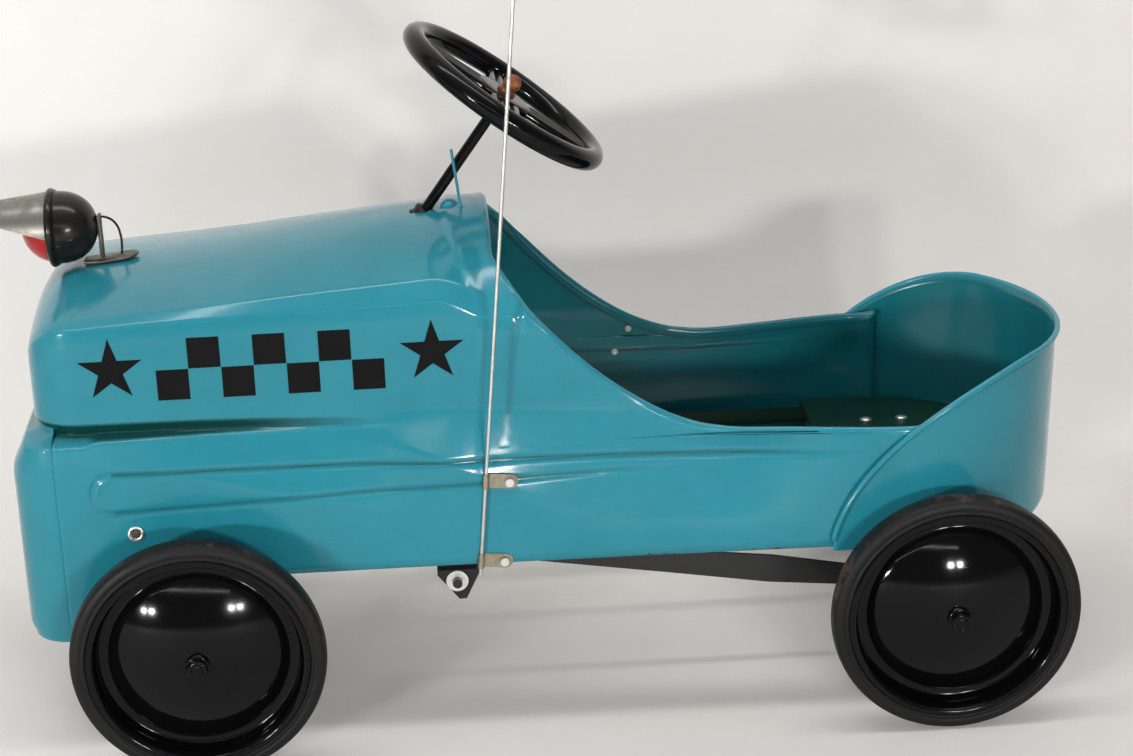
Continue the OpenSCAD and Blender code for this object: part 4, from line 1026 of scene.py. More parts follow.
def tub_grid():
    straight = np.linspace(TUB_FRONT + 1, TUB_CX, STRAIGHTS + 1)[:-1]
    plan = [(x, -TUB_R, 0.0) for x in straight]
    plan += [(TUB_CX + TUB_R * math.sin(a), -TUB_R * math.cos(a), math.sin(a))
             for a in np.linspace(0, math.pi, BENDS + 1)]
    plan += [(x, TUB_R, 0.0) for x in straight[::-1]]
    parts = np.concatenate([np.linspace(0, 0.1, 12), np.linspace(0.14, 1, 20)])
    grid = []
    for x, y, bent in plan:
        base, top = float(tub_base(x)), float(tub_rim(x))
        h = (top - base) * parts
        roll_in = FOOT_R - np.sqrt(FOOT_R ** 2 - (FOOT_R - np.minimum(h, FOOT_R)) ** 2)
        k = (TUB_R - bent * (TUB_LEAN * (1 - parts) + roll_in)) / TUB_R
        grid.append(np.stack([np.where(x > TUB_CX, TUB_CX + (x - TUB_CX) * k, x), y * k, base + h], 1))
    return np.array(grid)


tub_points = tub_grid()
tub = pressed_sheet("tub_sheet", tub_points, (TUB_CX, 0, 200), "rear_tub")

tub_line = evenly(tub_points[:, -1], 190)
outwards = unit(np.stack([np.maximum(0, tub_line[:, 0] - TUB_CX), tub_line[:, 1], 0 * tub_line[:, 1]], 1))
bead = sweep("tub_bead", tub_line + outwards * (BEAD_R - WALL), (BEAD_R, BEAD_R), outwards)
dress(bead, "body", ["tub_edge"], "teal_paint", TEAL)
print("tub:", len(tub.data.polygons), "faces, bead", len(bead.data.polygons))

# %% [markdown]
# ## The seat
# The seat is one flat pan that lies on the rails, cut round to fit inside the tub, with its front
# edge folded down. A flat outline is filled, given two millimetres of steel, and its edges eased so
# that they catch a line of light, as a folded edge does.

# %% Flat plates and bars
def slabs(outlines, push):
    """Flat outlines, each pushed out by the same millimetres into a slab, as one bmesh."""
    work = bmesh.new()
    for outline in outlines:
        face = work.faces.new([work.verts.new(p) for p in place(outline)])
        pushed = bmesh.ops.extrude_face_region(work, geom=[face])["geom"]
        pushed = [v for v in pushed if isinstance(v, bmesh.types.BMVert)]
        bmesh.ops.translate(work, verts=pushed, vec=[distance / 1000 for distance in push])
    return work


def plate(name, outline, z, thickness, ease_edges):
    """A flat outline in plan, (x, y) pairs, made a plate that hangs down from z."""
    work = slabs([[(x, y, z) for x, y in outline]], (0, 0, -thickness))
    bmesh.ops.recalc_face_normals(work, faces=work.faces)
    return soften(from_bmesh(name, work), ease_edges / 1000)


def block(name, low, high, ease_edges):
    """A plain bar between two corners, its edges eased."""
    work = bmesh.new()
    made = bmesh.ops.create_cube(work, size=1.0)["verts"]
    low, high = np.array(low), np.array(high)
    bmesh.ops.scale(work, vec=((high - low) / 1000).tolist(), verts=made)
    bmesh.ops.translate(work, vec=place((high + low) / 2)[0].tolist(), verts=made)
    return soften(from_bmesh(name, work), ease_edges / 1000)


def half_circle(cx, r, start, count):
    """(x, y) of a half circle that bulges to the rear."""
    return [(cx + r * math.sin(a), -r * math.cos(a)) for a in np.linspace(0, math.pi, count)[start:]]


# %% Seat pan
seat_low, seat_high = (np.array(corner) * 1000 - [SHIFT, 0, 0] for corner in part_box("seat"))
SEAT_Z, SEAT_FRONT, SEAT_R = float(seat_high[2]), float(seat_low[0]), TUB_R - WALL - 7
seat_half, lip_half = side_at(SEAT_FRONT, SEAT_Z) - WALL - 1.2, float(min(seat_high[1], 115))
pan_outline = [(SEAT_FRONT, seat_half), (SEAT_FRONT, -seat_half), (TUB_CX, -SEAT_R)]
pan_outline += half_circle(TUB_CX, SEAT_R, 1, 97)
pan = plate("seat_pan", pan_outline, SEAT_Z, 2.0, 0.6)
lip = block("seat_lip", (SEAT_FRONT, -lip_half, float(seat_low[2])),
            (SEAT_FRONT + 2, lip_half, SEAT_Z - 0.4), 0.6)
dress(join("seat_pan", [pan, lip]), "body", ["seat"], "green_paint", DEEP_GREEN)
print("seat: top at", SEAT_Z, "mm, front at", round(SEAT_FRONT, 1))

# %% [markdown]
# ## Wheels
# A wheel of this kind is a pressed disc with a broad dome, a channel round it, and a rolled lip that
# shows as a thin ring of light against the tyre. Everything is round, so each piece is one profile
# spun round the axle. Corners of the profile are rounded first, because a pressing has no sharp ones.

# %% Disc, tyre and nut
TYRE_R, RIM_R, TYRE_HALF, WHEEL_Y, TREAD_START = 101.5, 84.5, 11.0, 175.5, 96
HUB_SLEEVE_R, AXLE_HOLE_R, DISC_T = 9.0, 5.1, 1.8
DOME_R, DOME_H = RIM_R * 0.8, 17.0
DOME_ARC = (DOME_R ** 2 + DOME_H ** 2) / (2 * DOME_H)
NUT_START, ROUND = TYRE_HALF + 3 + 0.4, 144


def eased_corners(points, radii, count=6):
    """A polyline with each inner corner replaced by a small bend."""
    out = [points[0]]
    for before, here, after, r in zip(points[:-2], points[1:-1], points[2:], radii):
        reach = min(r, 0.48 * math.dist(before, here), 0.48 * math.dist(here, after))
        out += rounded(before, here, after, reach, reach, count)
    return out + [points[-1]]


def disc_face(back):
    """Half of the disc's profile, from the hub to the rim, for the outer or the inner face."""
    dome = [(r, TYRE_HALF + 2 - back + math.sqrt(DOME_ARC ** 2 - r * r) - DOME_ARC)
            for r in np.linspace(HUB_SLEEVE_R, DOME_R - 1, 22)]
    step = 0.7 * back
    ring = [(DOME_R + 2.0 - step, -6.0 - step), (DOME_R + 4.0 - step, -7.4 - back),
            (DOME_R + 7.5, -7.6 - back), (RIM_R - 4.5 - step, -6.5 - back), (RIM_R - 2.6 - step, 1),
            (RIM_R - 1.8 - step, 9.5)]
    return eased_corners(dome[-1:] + ring, [2.5, 2.5, 2.5, 3.0, 3.0]), dome


def disc_profile():
    (front_ring, front_dome), (back_ring, back_dome) = disc_face(0.0), disc_face(DISC_T)
    lip = [(-0.9, 11.2), (1.0, 12.0), (3.4, 11.9), (4.0, 11.2), (0.4, 10.2), (0, 8), (0, -9.8), (3.6, -11.1),
           (3.2, -11.8), (-1.2, -11.4), (-1.8, -9), (-2.0, 1.0)]
    sleeve = [(HUB_SLEEVE_R, -17.0), (AXLE_HOLE_R, -17.0), (AXLE_HOLE_R, 14.0), (HUB_SLEEVE_R - 0.8, 14.0)]
    lip = [(RIM_R + r, h) for r, h in lip]
    return sleeve + front_dome[:-1] + front_ring + lip + back_ring[::-1][2:] + back_dome[::-1][1:]


def tyre_profile():
    """Rubber from the rim outwards: a bead, a shallow flute, rounded shoulders and a worn tread."""
    side = [(0.2, -9.9), (4.3, -10.1), (4.9, -10.9), (6.2, -11.0), (6.9, -10.3), (8.3, -10.3), (9.0, -10.9),
            (11, -11.0), (15.3, -9.4), (16.8, -5.2), (17, 0.0)]
    half = eased_corners([(RIM_R + r, h) for r, h in side], [0.8, 0.4, 0.4, 0.5, 0.5, 0.4, 2.5, 3.0, 3.0])
    return half + [(r, -h) for r, h in half[-2::-1]]


def hub_nut(name, x, side):
    """A pressed washer, a six-sided nut with eased corners, and the turned end of the axle."""
    seat = (x, side * (WHEEL_Y + NUT_START), AXLE_Z), (0, side, 0)
    edge = eased_corners([(4.9, 0.3), (9.9, 0.3), (9.6, 1.6), (8.4, 2.3), (4.9, 2.3)], [0.6, 0.6, 0.6])
    nut = lathe("nut", [(4.9, 2.2), (9.0, 2.2), (9.0, 8.6), (7.6, 9.6), (4.9, 9.6)], *seat, 6)
    end = lathe("end", [(0.001, 6), (4.95, 6), (4.95, 9.4), (4.2, 10.4), (0.001, 10.6)], *seat, 32)
    return join(name, [lathe("washer", edge, *seat, 48), soften(nut, 0.0005, 30), end])


for corner, x, side, body, nut_body in (("front_left", 0.0, -1, "front_wheel_left", "knuckle_left"),
                                        ("front_right", 0.0, 1, "front_wheel_right", "knuckle_right"),
                                        ("rear_left", WHEELBASE, -1, "rear_axle", None),
                                        ("rear_right", WHEELBASE, 1, "rear_wheel_right", None)):
    wheel_seat = (x, side * WHEEL_Y, AXLE_Z), (0, side, 0)
    disc = lathe("disc_" + corner, disc_profile(), *wheel_seat, ROUND)
    dress(disc, body, ["wheel_" + corner], "black_paint", BLACK)
    tyre = lathe("rubber_" + corner, tyre_profile(), *wheel_seat, ROUND)
    away = car_points(tyre.data) - wheel_seat[0]
    paint_mask(tyre, "edge", rise(np.hypot(away[:, 0], away[:, 2]), TREAD_START, TYRE_R))
    dress(tyre, body, ["tyre_" + corner], "tyre_rubber", TYRE)
    if nut_body:
        dress(hub_nut("nut_" + corner, x, side), nut_body, ["hub_nut_" + corner], "black_paint", BLACK)
rear_nuts = join("nuts_rear", [hub_nut("nut_rear", WHEELBASE, side) for side in (-1, 1)])
dress(rear_nuts, "rear_axle", ["hub_nuts_rear"], "black_paint", BLACK)
print("wheel: disc", len(disc.data.polygons), "faces, tyre", len(tyre.data.polygons))

# %% Side bolts
bolt_points = car_points(nodes["side_bolts"].data)
BOLT_X, _, BOLT_Z = (bolt_points.min(0) + bolt_points.max(0)) / 2


def side_bolt(side):
    """A bright dished washer with a dark screw end in the middle of it."""
    seat = (BOLT_X, side * side_at(BOLT_X, BOLT_Z), BOLT_Z), (0, side, 0)
    ring = [(3.6, 0.5), (6.5, 0.2), (6.5, 1.2), (5.6, 1.9), (4.5, 1.9), (3.6, 1.2)]
    washer = lathe("bolt_ring", ring, *seat, 40)
    end = lathe("bolt_end", [(0.001, -9), (3.3, -9), (3.3, 2.2), (2.6, 2.9), (0.001, 3.0)], *seat, 32)
    return join("bolt", [painted(washer, BRIGHT), painted(end, DARK_STEEL)])


dress(join("side_bolt_heads", [side_bolt(side) for side in (-1, 1)]), "body", ["side_bolts"], "chrome")
print("side bolts at", round(float(BOLT_X), 1), round(float(BOLT_Z), 1))

# %% [markdown]
# ## The lamp on the nose
# A bowl and a ring in dark varnish hold a red lens. Over the lens stands a peak of thin bright metal,
# longest in the middle. A strap rises from a small foot plate, and a stiff wire bends from the back
# of the bowl into the foot. Bowl, ring and lens are spun; the peak is a piece of a cone, cut by a
# slanting plane, so its rows simply get narrower towards the tip.

# %% Bowl, ring and lens
LAMP_R, LAMP_FRONT, LAMP_BACK, PEAK_TIP = 32.5, -108.0, -68.0, -166.0
FOOT_Z = float(hood_z(LAMP_BACK))
LAMP_Z = FOOT_Z + 31
LENS_R, LENS_H, LENS_T = LAMP_R - 5, 21.0, 2
LENS_ARC = (LENS_R ** 2 + LENS_H ** 2) / (2 * LENS_H)


def bowl_profile():
    def skin(inset):
        h = 8 + (32 - inset) * np.sin(np.linspace(0.02, 1, 22) * math.pi / 2)
        r = (29.6 - inset) * np.clip(1 - ((h - 8) / (32.5 - inset)) ** 2.3, 0, 1) ** (1 / 2.1)
        return list(zip(r, h))

    inner, mouth = skin(2.2), [(27.4, 7.2), (30.5, 7.2), (30.9, 7.9)]
    return [(0.001, inner[-1][1])] + inner[::-1] + mouth + skin(0.0) + [(0.001, 40.0)]


def lens_arc(turns, inset):
    arc = LENS_ARC - inset
    return [(arc * math.sin(a), LENS_ARC - LENS_H - arc * math.cos(a)) for a in turns]


ring_line = [(-5, 1.5), (-3.5, 1.1), (-1.2, 1.6), (0, 4.2), (-1.0, 6.6), (-2.6, 7.4), (-5, 7.6)]
ring_profile = eased_corners([(LAMP_R + r, h) for r, h in ring_line], [1.0, 1.2, 1.6, 1.2, 0.8])
lens_edge = math.asin(LENS_R / LENS_ARC)
lens_profile = lens_arc(np.linspace(0.001, lens_edge, 28), 0) + [(LENS_R, 3.5), (LENS_R - 2, 3.5)]
lens_profile += lens_arc(np.linspace(lens_edge * 0.98, 0.001, 28), LENS_T)
for name, profile, steps, node, slot, material in (
        ("lamp_bowl", bowl_profile(), 96, "lamp_housing", "brown_paint", BROWN_VARNISH),
        ("lamp_ring", ring_profile, 120, "lamp_bezel", "brown_paint", BROWN_VARNISH),
        ("lamp_glass", lens_profile, 96, "lamp_lens", "red_glass", RED_GLASS)):
    dress(lathe(name, profile, (LAMP_FRONT, 0, LAMP_Z), (1, 0, 0), steps), "body", [node], slot, material)


# %% Peak over the lens
def lamp_peak():
    length, slant, low, rows = LAMP_FRONT - PEAK_TIP, math.tan(math.radians(16)), -2.0, []
    for h in np.linspace(1.0, -length, 24):
        r = mix(LAMP_R - 3.0, LAMP_R - 10.6, (1 - h) / (1 + length))
        half = math.acos(min(1, max(-0.2, (low + slant * (2 - h)) / r)))
        rows.append([(LAMP_FRONT + h, r * math.sin(a), LAMP_Z + r * math.cos(a))
                     for a in np.linspace(-half, half, 41)])
    obj = new_object("lamp_peak", place(np.array(rows)), grid_faces(24, 41))
    obj = facing(tidy(obj), (LAMP_FRONT - 30, 0, LAMP_Z - 10))
    return shade_by_angle(modified(obj, "SOLIDIFY", thickness=0.0009, offset=-1, use_even_offset=True))


dress(lamp_peak(), "body", ["lamp_visor"], "chrome", PEAK)


# %% Strap, foot plate and wire
def foot_plate():
    outline = [(LAMP_BACK - 13, 8), (LAMP_BACK - 13, -8), (LAMP_BACK + 2, -10)]
    outline += half_circle(LAMP_BACK + 21, 10, 0, 17) + [(LAMP_BACK + 2, 10)]
    foot = plate("foot", outline, FOOT_Z + 3.0, 1.8, 0.4)
    for v in foot.data.vertices:
        along = v.co.x * 1000 - SHIFT - LAMP_BACK
        v.co.z += 0.001 * (0.105 * max(0, along) + 0.02 * along)
    strap = block("strap", (LAMP_BACK + 0.3, -6, FOOT_Z + 1.2), (LAMP_BACK + 3.3, 6, LAMP_Z + 9), 0.8)
    return join("lamp_foot", [foot, strap])


dress(foot_plate(), "body", ["lamp_base"], "bare_steel", DARK_STEEL)
top, turn, low = (np.array([LAMP_BACK + x, y, z]) for x, y, z in
                  ((-0.8, 8, LAMP_Z + 5), (21, 8, LAMP_Z + 6), (17, 4, FOOT_Z + 4.6)))
wire_line = [(1 - t) ** 2 * top + 2 * t * (1 - t) * turn + t * t * low for t in np.linspace(0, 1, 24)]
lamp_lead = sweep("lamp_lead", wire_line, (1.0, 1.0), (0.3, 1, 0.2))
dress(lamp_lead, "body", ["lamp_wire"], "wire_black", WIRE)

# %% [markdown]
# ## The steering wheel
# A thick round rim, four broad spokes pressed with three ribs, and a round hub with a ball nut on
# top. The wheel leans, so every piece is made flat first and then turned onto the shaft.

# %% Rim and spokes
LEAN, HOLE_X, CAP_X, SHAFT_OUT = math.radians(36.5), COWL_X - 47, COWL_X - 27, 115
SHAFT = np.array([math.sin(LEAN), 0, math.cos(LEAN)])
HAND_AT = np.array([HOLE_X, 0, float(hood_z(HOLE_X))]) + SHAFT_OUT * SHAFT
HAND_R, HAND_T, SPOKE_ROWS, SPOKE_HALF = 87.0, 9.0, 15, 14


def on_shaft(points):
    """Points made round the origin with z up, put at the wheel's centre and leaned back."""
    turn = np.array([[math.cos(LEAN), 0, math.sin(LEAN)], [0, 1, 0], [-math.sin(LEAN), 0, math.cos(LEAN)]])
    return place(np.array(points, float).reshape(-1, 3) @ turn.T + HAND_AT)


def spoke(turn):
    """A ribbed strip from the hub to the rim: one cross section, repeated along the spoke."""
    section = [(w, 0.4 + 1.9 * abs(math.cos(w / SPOKE_HALF * 1.5 * math.pi)) ** 0.7)
               for w in np.linspace(-SPOKE_HALF, SPOKE_HALF, 43)]
    section = [(-14.4, -3.4), (-14.4, -0.5)] + section + [(14.4, -0.5), (14.4, -3.4)]
    c, s, points = math.cos(turn), math.sin(turn), []
    for t in np.linspace(0, 1, SPOKE_ROWS):
        x = mix(16, HAND_R - HAND_T + 1.5, t)
        wide = mix(1.0, 0.86, ease((t - 0.1) / 0.7)) + 0.1 * ease((t - 0.82) / 0.18)
        points += [(x * c - w * wide * s, x * s + w * wide * c, h) for w, h in section]
    faces = grid_faces(SPOKE_ROWS, len(section), close_cols=True) + end_faces(SPOKE_ROWS, len(section))
    return shade_by_angle(tidy(new_object("spoke", on_shaft(points), faces)), 50)


rim_profile = [(HAND_R + HAND_T * math.cos(a), HAND_T * math.sin(a))
               for a in np.linspace(0, 2 * math.pi, 29)[:-1]]
hand_rim = lathe("hand_rim", rim_profile, HAND_AT, SHAFT, ROUND)
dress(hand_rim, "steering", ["steering_wheel_rim"], "black_plastic", BLACK)
hub_line = [(4.4, -16), (11.5, -16), (12.2, -14.5), (12.4, -8), (22, -7.2), (25.5, -6), (26.2, -3), (25.8, 1),
            (23.5, 3.0), (16, 3.3), (10, 3.3), (4.4, 3.3)]
hub_disc = lathe("hub_disc", eased_corners(hub_line, [1.2, 1, 3, 2, 1.5, 2, 2, 2, 1, 1]), HAND_AT, SHAFT, 72)
spokes = join("hand_spokes", [spoke(k * math.pi / 2) for k in range(4)] + [hub_disc])
dress(spokes, "steering", ["steering_wheel_spokes"], "black_plastic", BLACK)

# %% Ball nut, grommet on the hood and cowl cap
ball = [(0.001, 16.5)] + [(7.5 * math.cos(a), 9 + 7.5 * math.sin(a)) for a in np.linspace(1.45, -0.75, 22)]
ball += [(5.6, 3.0), (7.4, 2.6), (8.0, 1.8), (8.0, 0.4), (4.52, 0.3), (4.52, 12.4), (0.001, 12.5)]
ball_nut = lathe("ball_nut", ball, HAND_AT + 3 * SHAFT, SHAFT, 48)
dress(ball_nut, "steering", ["acorn_nut"], "rusty_brown", RUSTY)

collar = [(4.56, -8.8), (10.4, -8.8), (10.4, -7.1), (8.4, -6.9), (8.4, 0.6), (6.2, 1.6), (4.56, 1.2)]
grommet = eased_corners(collar, [0.5, 0.5, 0.5, 0.8, 0.8])
dress(lathe("shaft_grommet", grommet, HAND_AT - SHAFT_OUT * SHAFT, SHAFT, 48), "body", ["column_grommet"],
      "black_paint", WIRE)

cap = [(0.001, 6.5)] + [(8.4 * math.sin(a), -2 + 8.5 * math.cos(a)) for a in np.linspace(0.1, 1.25, 16)]
cap += [(8.6, 0.0), (0.001, 0.0)]
dress(lathe("cowl_button", cap, (CAP_X, 0, float(hood_z(CAP_X)) + 0.2), (0, 0, 1), 48), "body", ["cowl_cap"],
      "teal_paint", TEAL)
print("steering wheel: rim", len(hand_rim.data.polygons), "faces, spokes", len(spokes.data.polygons))

# %% [markdown]
# ## Small screws
# Small round heads hold the inner wall and the seat. They are one shape at many places, which is
# what Geometry Nodes are for. Each place is a single point that knows which way its head looks; the
# tree puts a washer, a dome and a shank there, makes them real and gives them their metal.

# %% A tree that puts a head on each point
HEADS = bpy.data.node_groups.new("round heads", "GeometryNodeTree")
HEADS.interface.new_socket("Places", in_out="INPUT", socket_type="NodeSocketGeometry")
for label, size in (("Head radius", 0.0034), ("Head height", 0.0018), ("Washer radius", 0.0042),
                    ("Washer height", 0.0004), ("Shank radius", 0.0018), ("Shank length", 0.005)):
    HEADS.interface.new_socket(label, in_out="INPUT", socket_type="NodeSocketFloat").default_value = size
HEADS.interface.new_socket("Heads", in_out="OUTPUT", socket_type="NodeSocketGeometry")
i, o = group_ends(HEADS)


def head_part(shape, rise, squash=1.0, **sizes):
    """A cylinder or sphere, lifted by rise and squashed in height."""
    mesh = add(HEADS, "GeometryNodeMesh" + shape, sizes)["Mesh"]
    moves = {"Geometry": mesh, "Translation": add(HEADS, "ShaderNodeCombineXYZ", {"Z": rise})[0],
             "Scale": add(HEADS, "ShaderNodeCombineXYZ", {"X": 1.0, "Y": 1.0, "Z": squash})[0]}
    return add(HEADS, "GeometryNodeTransform", moves)[0]


high = i["Washer height"]
parts = HEADS.nodes.new("GeometryNodeJoinGeometry")
wire(head_part("Cylinder", high * 0.5, Vertices=32, Radius=i["Washer radius"], Depth=high), parts.inputs[0])
wire(head_part("UVSphere", high, i["Head height"] / i["Head radius"], Segments=32, Rings=16,
               Radius=i["Head radius"]), parts.inputs[0])
wire(head_part("Cylinder", i["Shank length"] * -0.5, Vertices=16, Radius=i["Shank radius"],
               Depth=i["Shank length"]), parts.inputs[0])
aim = add(HEADS, "GeometryNodeInputNamedAttribute", {"Name": "aim"}, data_type="FLOAT_VECTOR")["Attribute"]
turned = add(HEADS, "FunctionNodeAlignRotationToVector", {"Vector": aim}, axis="Z")["Rotation"]
stamp = {"Points": i["Places"], "Instance": Signal(parts.outputs[0]), "Rotation": turned}
heads = add(HEADS, "GeometryNodeInstanceOnPoints", stamp)["Instances"]
heads = add(HEADS, "GeometryNodeRealizeInstances", {"Geometry": heads})["Geometry"]
wire(add(HEADS, "GeometryNodeSetMaterial", {"Geometry": heads, "Material": BRIGHT})["Geometry"], o["Heads"])


# %% Where the heads sit
def round_heads(name, spots, aim, node, **sizes):
    """Heads at these places in car millimetres, all looking one way; sizes are in metres."""
    obj = new_object(name, place(spots), [])
    aims = np.array([aim] * len(spots), np.float32)
    obj.data.attributes.new("aim", "FLOAT_VECTOR", "POINT").data.foreach_set("vector", aims.ravel())
    modifier = obj.modifiers.new("heads", "NODES")
    modifier.node_group = HEADS
    for item in HEADS.interface.items_tree:
        key = item.name.replace(" ", "_").lower()
        if item.in_out == "INPUT" and key in sizes:
            modifier[item.identifier] = sizes[key]
    dress(shade_by_angle(apply_modifiers(obj)), "body", [node], "chrome")


def loose_pieces(name):
    """Lowest and highest corner of each loose piece of a node, front to rear."""
    work = bmesh.new()
    work.from_mesh(nodes[name].data)
    bmesh.ops.remove_doubles(work, verts=work.verts, dist=MERGE / 2)
    left, boxes = set(work.verts), []
    while left:
        island = stack = [left.pop()]
        for v in stack:
            fresh = {e.other_vert(v) for e in v.link_edges} & left
            left -= fresh
            stack.extend(fresh)
        box = np.array([v.co for v in island]) * 1000 - [SHIFT, 0, 0]
        boxes.append((box.min(0), box.max(0)))
    work.free()
    return sorted(boxes, key=lambda b: tuple(b[0]))


wall_spots = [((low + high)[0] / 2, low[1] + 2.4, (low + high)[2] / 2)
              for low, high in loose_pieces("wall_screws")]
round_heads("inner_wall_screws", wall_spots, (0, -1, 0), "wall_screws", head_radius=0.0022,
            washer_radius=0.0027, head_height=0.002, shank_length=0.006)
seat_spots = [(*((low + high) / 2)[:2], SEAT_Z) for low, high in loose_pieces("seat_screws")]
round_heads("seat_top_screws", seat_spots, (0, 0, 1), "seat_screws", head_radius=0.0045,
            washer_radius=0.0052, head_height=0.0016, shank_length=0.009)
print("screws:", len(wall_spots), "in the wall,", len(seat_spots), "in the seat")

# %% [markdown]
# ## Painted marks
# The hood carries two five-pointed stars a side. Between them the real car has lettering, which this
# one leaves off: a plain two-row checker fills the same length and height. The hood's side is flat
# there, so each mark is a thin film of black standing a hair proud of the enamel.

# %% Stars and checks
FILM_OUT, FILM_T = UPPER_Y + 0.22, 0.42
STARS, STAR_WAIST = [(-54.0, 326.5, 26.5), (198.0, 328.5, 26.5)], 0.382
CHECK_START, CHECK_END, CHECK_LOW = -19, 160, 299.5
CHECK_ROWS, CHECK_COLUMNS, CHECK_GAP = 2, 7, 0.15


def star_outline(x, z, reach):
    tips = [(math.radians(90 + 36 * k), reach * (STAR_WAIST if k % 2 else 1)) for k in range(10)]
    return [(x + r * math.cos(a), z + r * math.sin(a)) for a, r in tips]


def check_outlines():
    """The dark squares of a checker between two places along the car."""
    step = (CHECK_END - CHECK_START) / CHECK_COLUMNS
    near, far = CHECK_GAP, step - CHECK_GAP
    for i in range(CHECK_COLUMNS):
        for j in range(i % 2, CHECK_ROWS, 2):
            x, z = CHECK_START + i * step, CHECK_LOW + j * step
            yield [(x + near, z + near), (x + far, z + near), (x + far, z + far), (x + near, z + far)]


def films(name, outlines, side):
    """Marks on one side of the hood, given as (x, z) outlines."""
    proud = [[(x, side * FILM_OUT, z) for x, z in outline] for outline in outlines]
    work = slabs(proud, (0, -side * FILM_T, 0))
    bmesh.ops.triangulate(work, faces=[f for f in work.faces if len(f.verts) > 4])
    bmesh.ops.recalc_face_normals(work, faces=work.faces)
    dress(from_bmesh(name, work), "body", [], "black_paint", FILM)


checks = list(check_outlines())
for side, word in ((-1, "left"), (1, "right")):
    films("stars_" + word, [star_outline(*star) for star in STARS], side)
    films("checks_" + word, checks, side)
print("marks:", len(STARS), "stars and", len(checks), "checks a side")

# %% [markdown]
# ## Materials for the pieces that keep their solid form
# Rails, knuckles, rods, bushes and brackets are cut and bent stock on the real car, so their plain
# solids already have the right form. They keep it and get a finish by name.

# %% Finishes by node
FINISH = {
    TEAL: "cowl_pin",
    DEEP_GREEN: "chassis_rail_left chassis_rail_right",
    CHASSIS_BLACK: "front_cross_member front_axle_beam rear_bracket_left rear_bracket_right "
                   "pedal_shaft_brackets knuckle_left knuckle_right tie_rod rear_axle "
                   "pedal_arm_left pedal_arm_right drive_rod_left drive_rod_right",
    BLACK: "steering_shaft",
    DARK_STEEL: "kingpins pedal_shaft",
    BRONZE: "rear_bushes column_bush",
    BRIGHT: "clip_rivets pedal_washer_left pedal_washer_right",
    PLATED: "antenna_clips",
    MAST: "antenna",
    BULB_GLASS: "lamp_bulb",
    PAD: "pedal_pad_left pedal_pad_right",
}
for material, names in FINISH.items():
    for name in names.split():
        painted(nodes[name], material)
print("finished by node:", sum(len(names.split()) for names in FINISH.values()))

# %% [markdown]
# ## Floor, backdrop and light
# A pale floor runs under the car, and a pale wall stands up behind it. Rays that come straight from
# the camera, or by way of gloss or glass, see them at the brightness of the picture's background,
# while light on the car comes only from the soft lamps and a dim even sky. From behind the wall is
# clear, so the car can be looked at from any side.

# %% Stage
WALL_START, WALL_CURVE, WALL_TOP, WALL_REACH, FLOOR_REACH = 0.25, 0.3, 5.0, 6.0, 30.0


def stage_sheet(name, profile, reach):
    """A sheet from (y, z) places, as wide as reach both ways, with its faces up and to the car."""
    points = [(x, y, z) for y, z in profile for x in np.linspace(-reach, reach, 13)]
    obj = new_object(name, points, grid_faces(len(profile), 13))
    with editing(obj) as work:
        if work.faces[:][0].normal.z < 0:
            bmesh.ops.reverse_faces(work, faces=work.faces)
    obj.data.materials.append(PALE_SHEET)
    print(name + ":", len(obj.data.polygons), "faces")


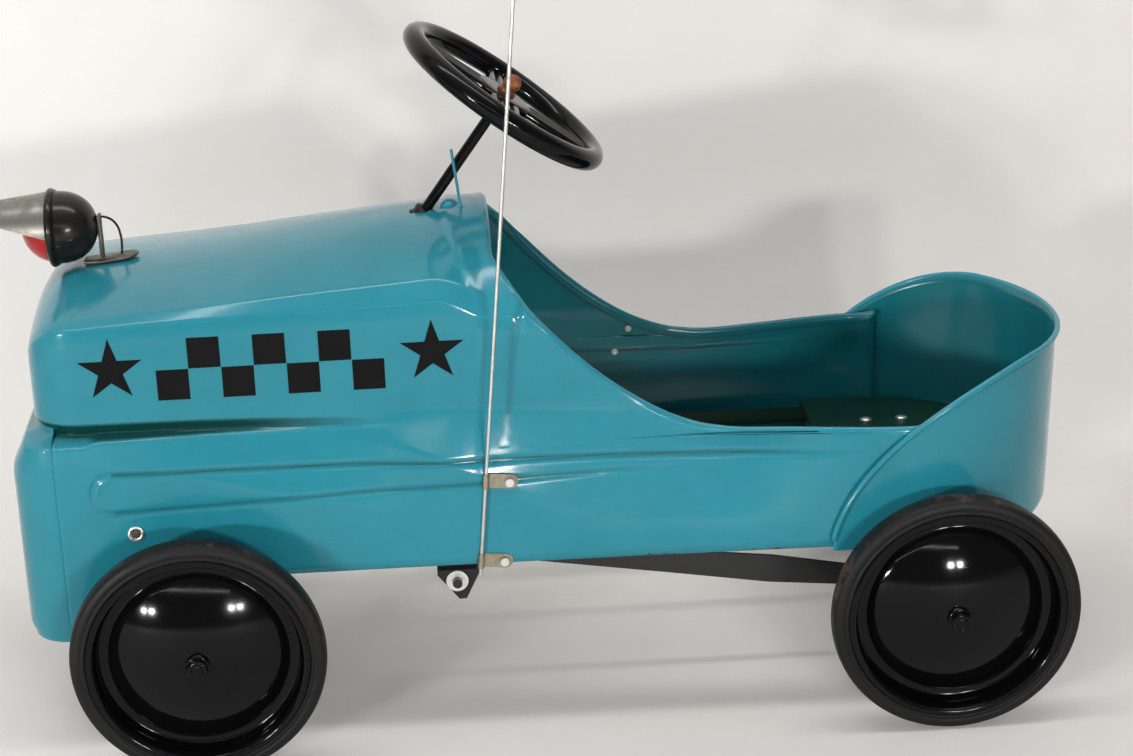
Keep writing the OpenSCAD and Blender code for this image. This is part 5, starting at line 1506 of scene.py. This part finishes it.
def stage_material():
    material, tree, shader = start_material("pale_sheet", Roughness=0.75, Specular_IOR_Level=0.2,
                                            Emission_Color=(1, 1, 1, 1))
    tone = use(tree, MOTTLE, Tone=srgb(206, 203, 198), Second_tone=srgb(198, 194, 188), Size=1.6,
               Strength=0.8)
    wire(tone["Colour"], shader["Base Color"])
    rays = add(tree, "ShaderNodeLightPath")
    split = parts_of(object_place(tree))
    close_by = ramp(split["X"].math("ABSOLUTE", split["X"], 0.0), 0.9, 1.7, 1.0, 0.0)
    seen = rays["Is Camera Ray"].larger(rays["Is Glossy Ray"].larger(rays["Is Transmission Ray"]) * close_by)
    # Over an even base glow, the floor and wall are made brighter higher up and towards the left: a painted
    # gradient of light on the backdrop.
    painted_backdrop_light = ramp(split["Z"], 0.0, 0.5) * 0.07 + ramp(split["X"], 0.1, -0.9) * 0.13 + 0.1
    wire(seen * painted_backdrop_light, shader["Emission Strength"])
    sides = {0: add(tree, "ShaderNodeNewGeometry")["Backfacing"],
             1: Signal(tree.nodes["Principled BSDF"].outputs["BSDF"]),
             2: add(tree, "ShaderNodeBsdfTransparent")[0]}
    wire(add(tree, "ShaderNodeMixShader", sides)[0], tree.nodes["Material Output"].inputs["Surface"])
    return material


PALE_SHEET = stage_material()
bend = [(WALL_START + WALL_CURVE * math.sin(a), WALL_CURVE * (1 - math.cos(a)) + 0.0003)
        for a in np.linspace(0, math.pi / 2, 20)]
stage_sheet("floor", [(-FLOOR_REACH, 0), (0, 0), (FLOOR_REACH, 0)], FLOOR_REACH)
stage_sheet("wall", bend + [(WALL_START + WALL_CURVE, WALL_TOP)], WALL_REACH)


# %% Lamps
def soft_lamp(name, where, aim, size, power):
    lamp = bpy.data.lights.new("lamp_" + name, "AREA")
    lamp.shape = "RECTANGLE"
    lamp.size, lamp.size_y = size
    lamp.energy = power
    obj = put("lamp_" + name, lamp)
    obj.location = where
    obj.rotation_euler = (Vector(aim) - Vector(where)).to_track_quat("-Z", "Y").to_euler()


for name, x, power in (("far_left", -2.36, 29), ("left", -2.0, 29),
                       ("right", 0.62, 16), ("far_right", 0.92, 16)):
    soft_lamp(name, (x, -2.7, 0.62), (-0.1, 0, 0.25), (0.15, 0.15), power)
soft_lamp("over", (0.0, -0.4, 2.6), (0, 0, 0.2), (2.8, 0.3), 26)
soft_lamp("tube", (-0.9, -4.0, 1.9), (0, 0, 0.3), (4.6, 0.03), 14)

# %% Sky: bright overhead and over the wall, dim behind the camera and behind the car
SEEN_SKY = 0.72
world = bpy.data.worlds.new("sky")
world.use_nodes = True
sky = world.node_tree.nodes["Background"].inputs
sky["Color"].default_value = (0.93, 0.95, 1.0, 1)
split = parts_of(add(world.node_tree, "ShaderNodeTexCoord")["Generated"])
lift = split["Z"] + split["Y"] * 0.65 - split["X"].larger(0.0) * 0.35
seen = add(world.node_tree, "ShaderNodeLightPath")["Is Camera Ray"] * SEEN_SKY
wire(ramp(lift, -0.15, 1.0, 0.14, 0.95).larger(seen), sky["Strength"])
bpy.context.scene.world = world
bpy.context.scene.view_settings.view_transform = "Standard"
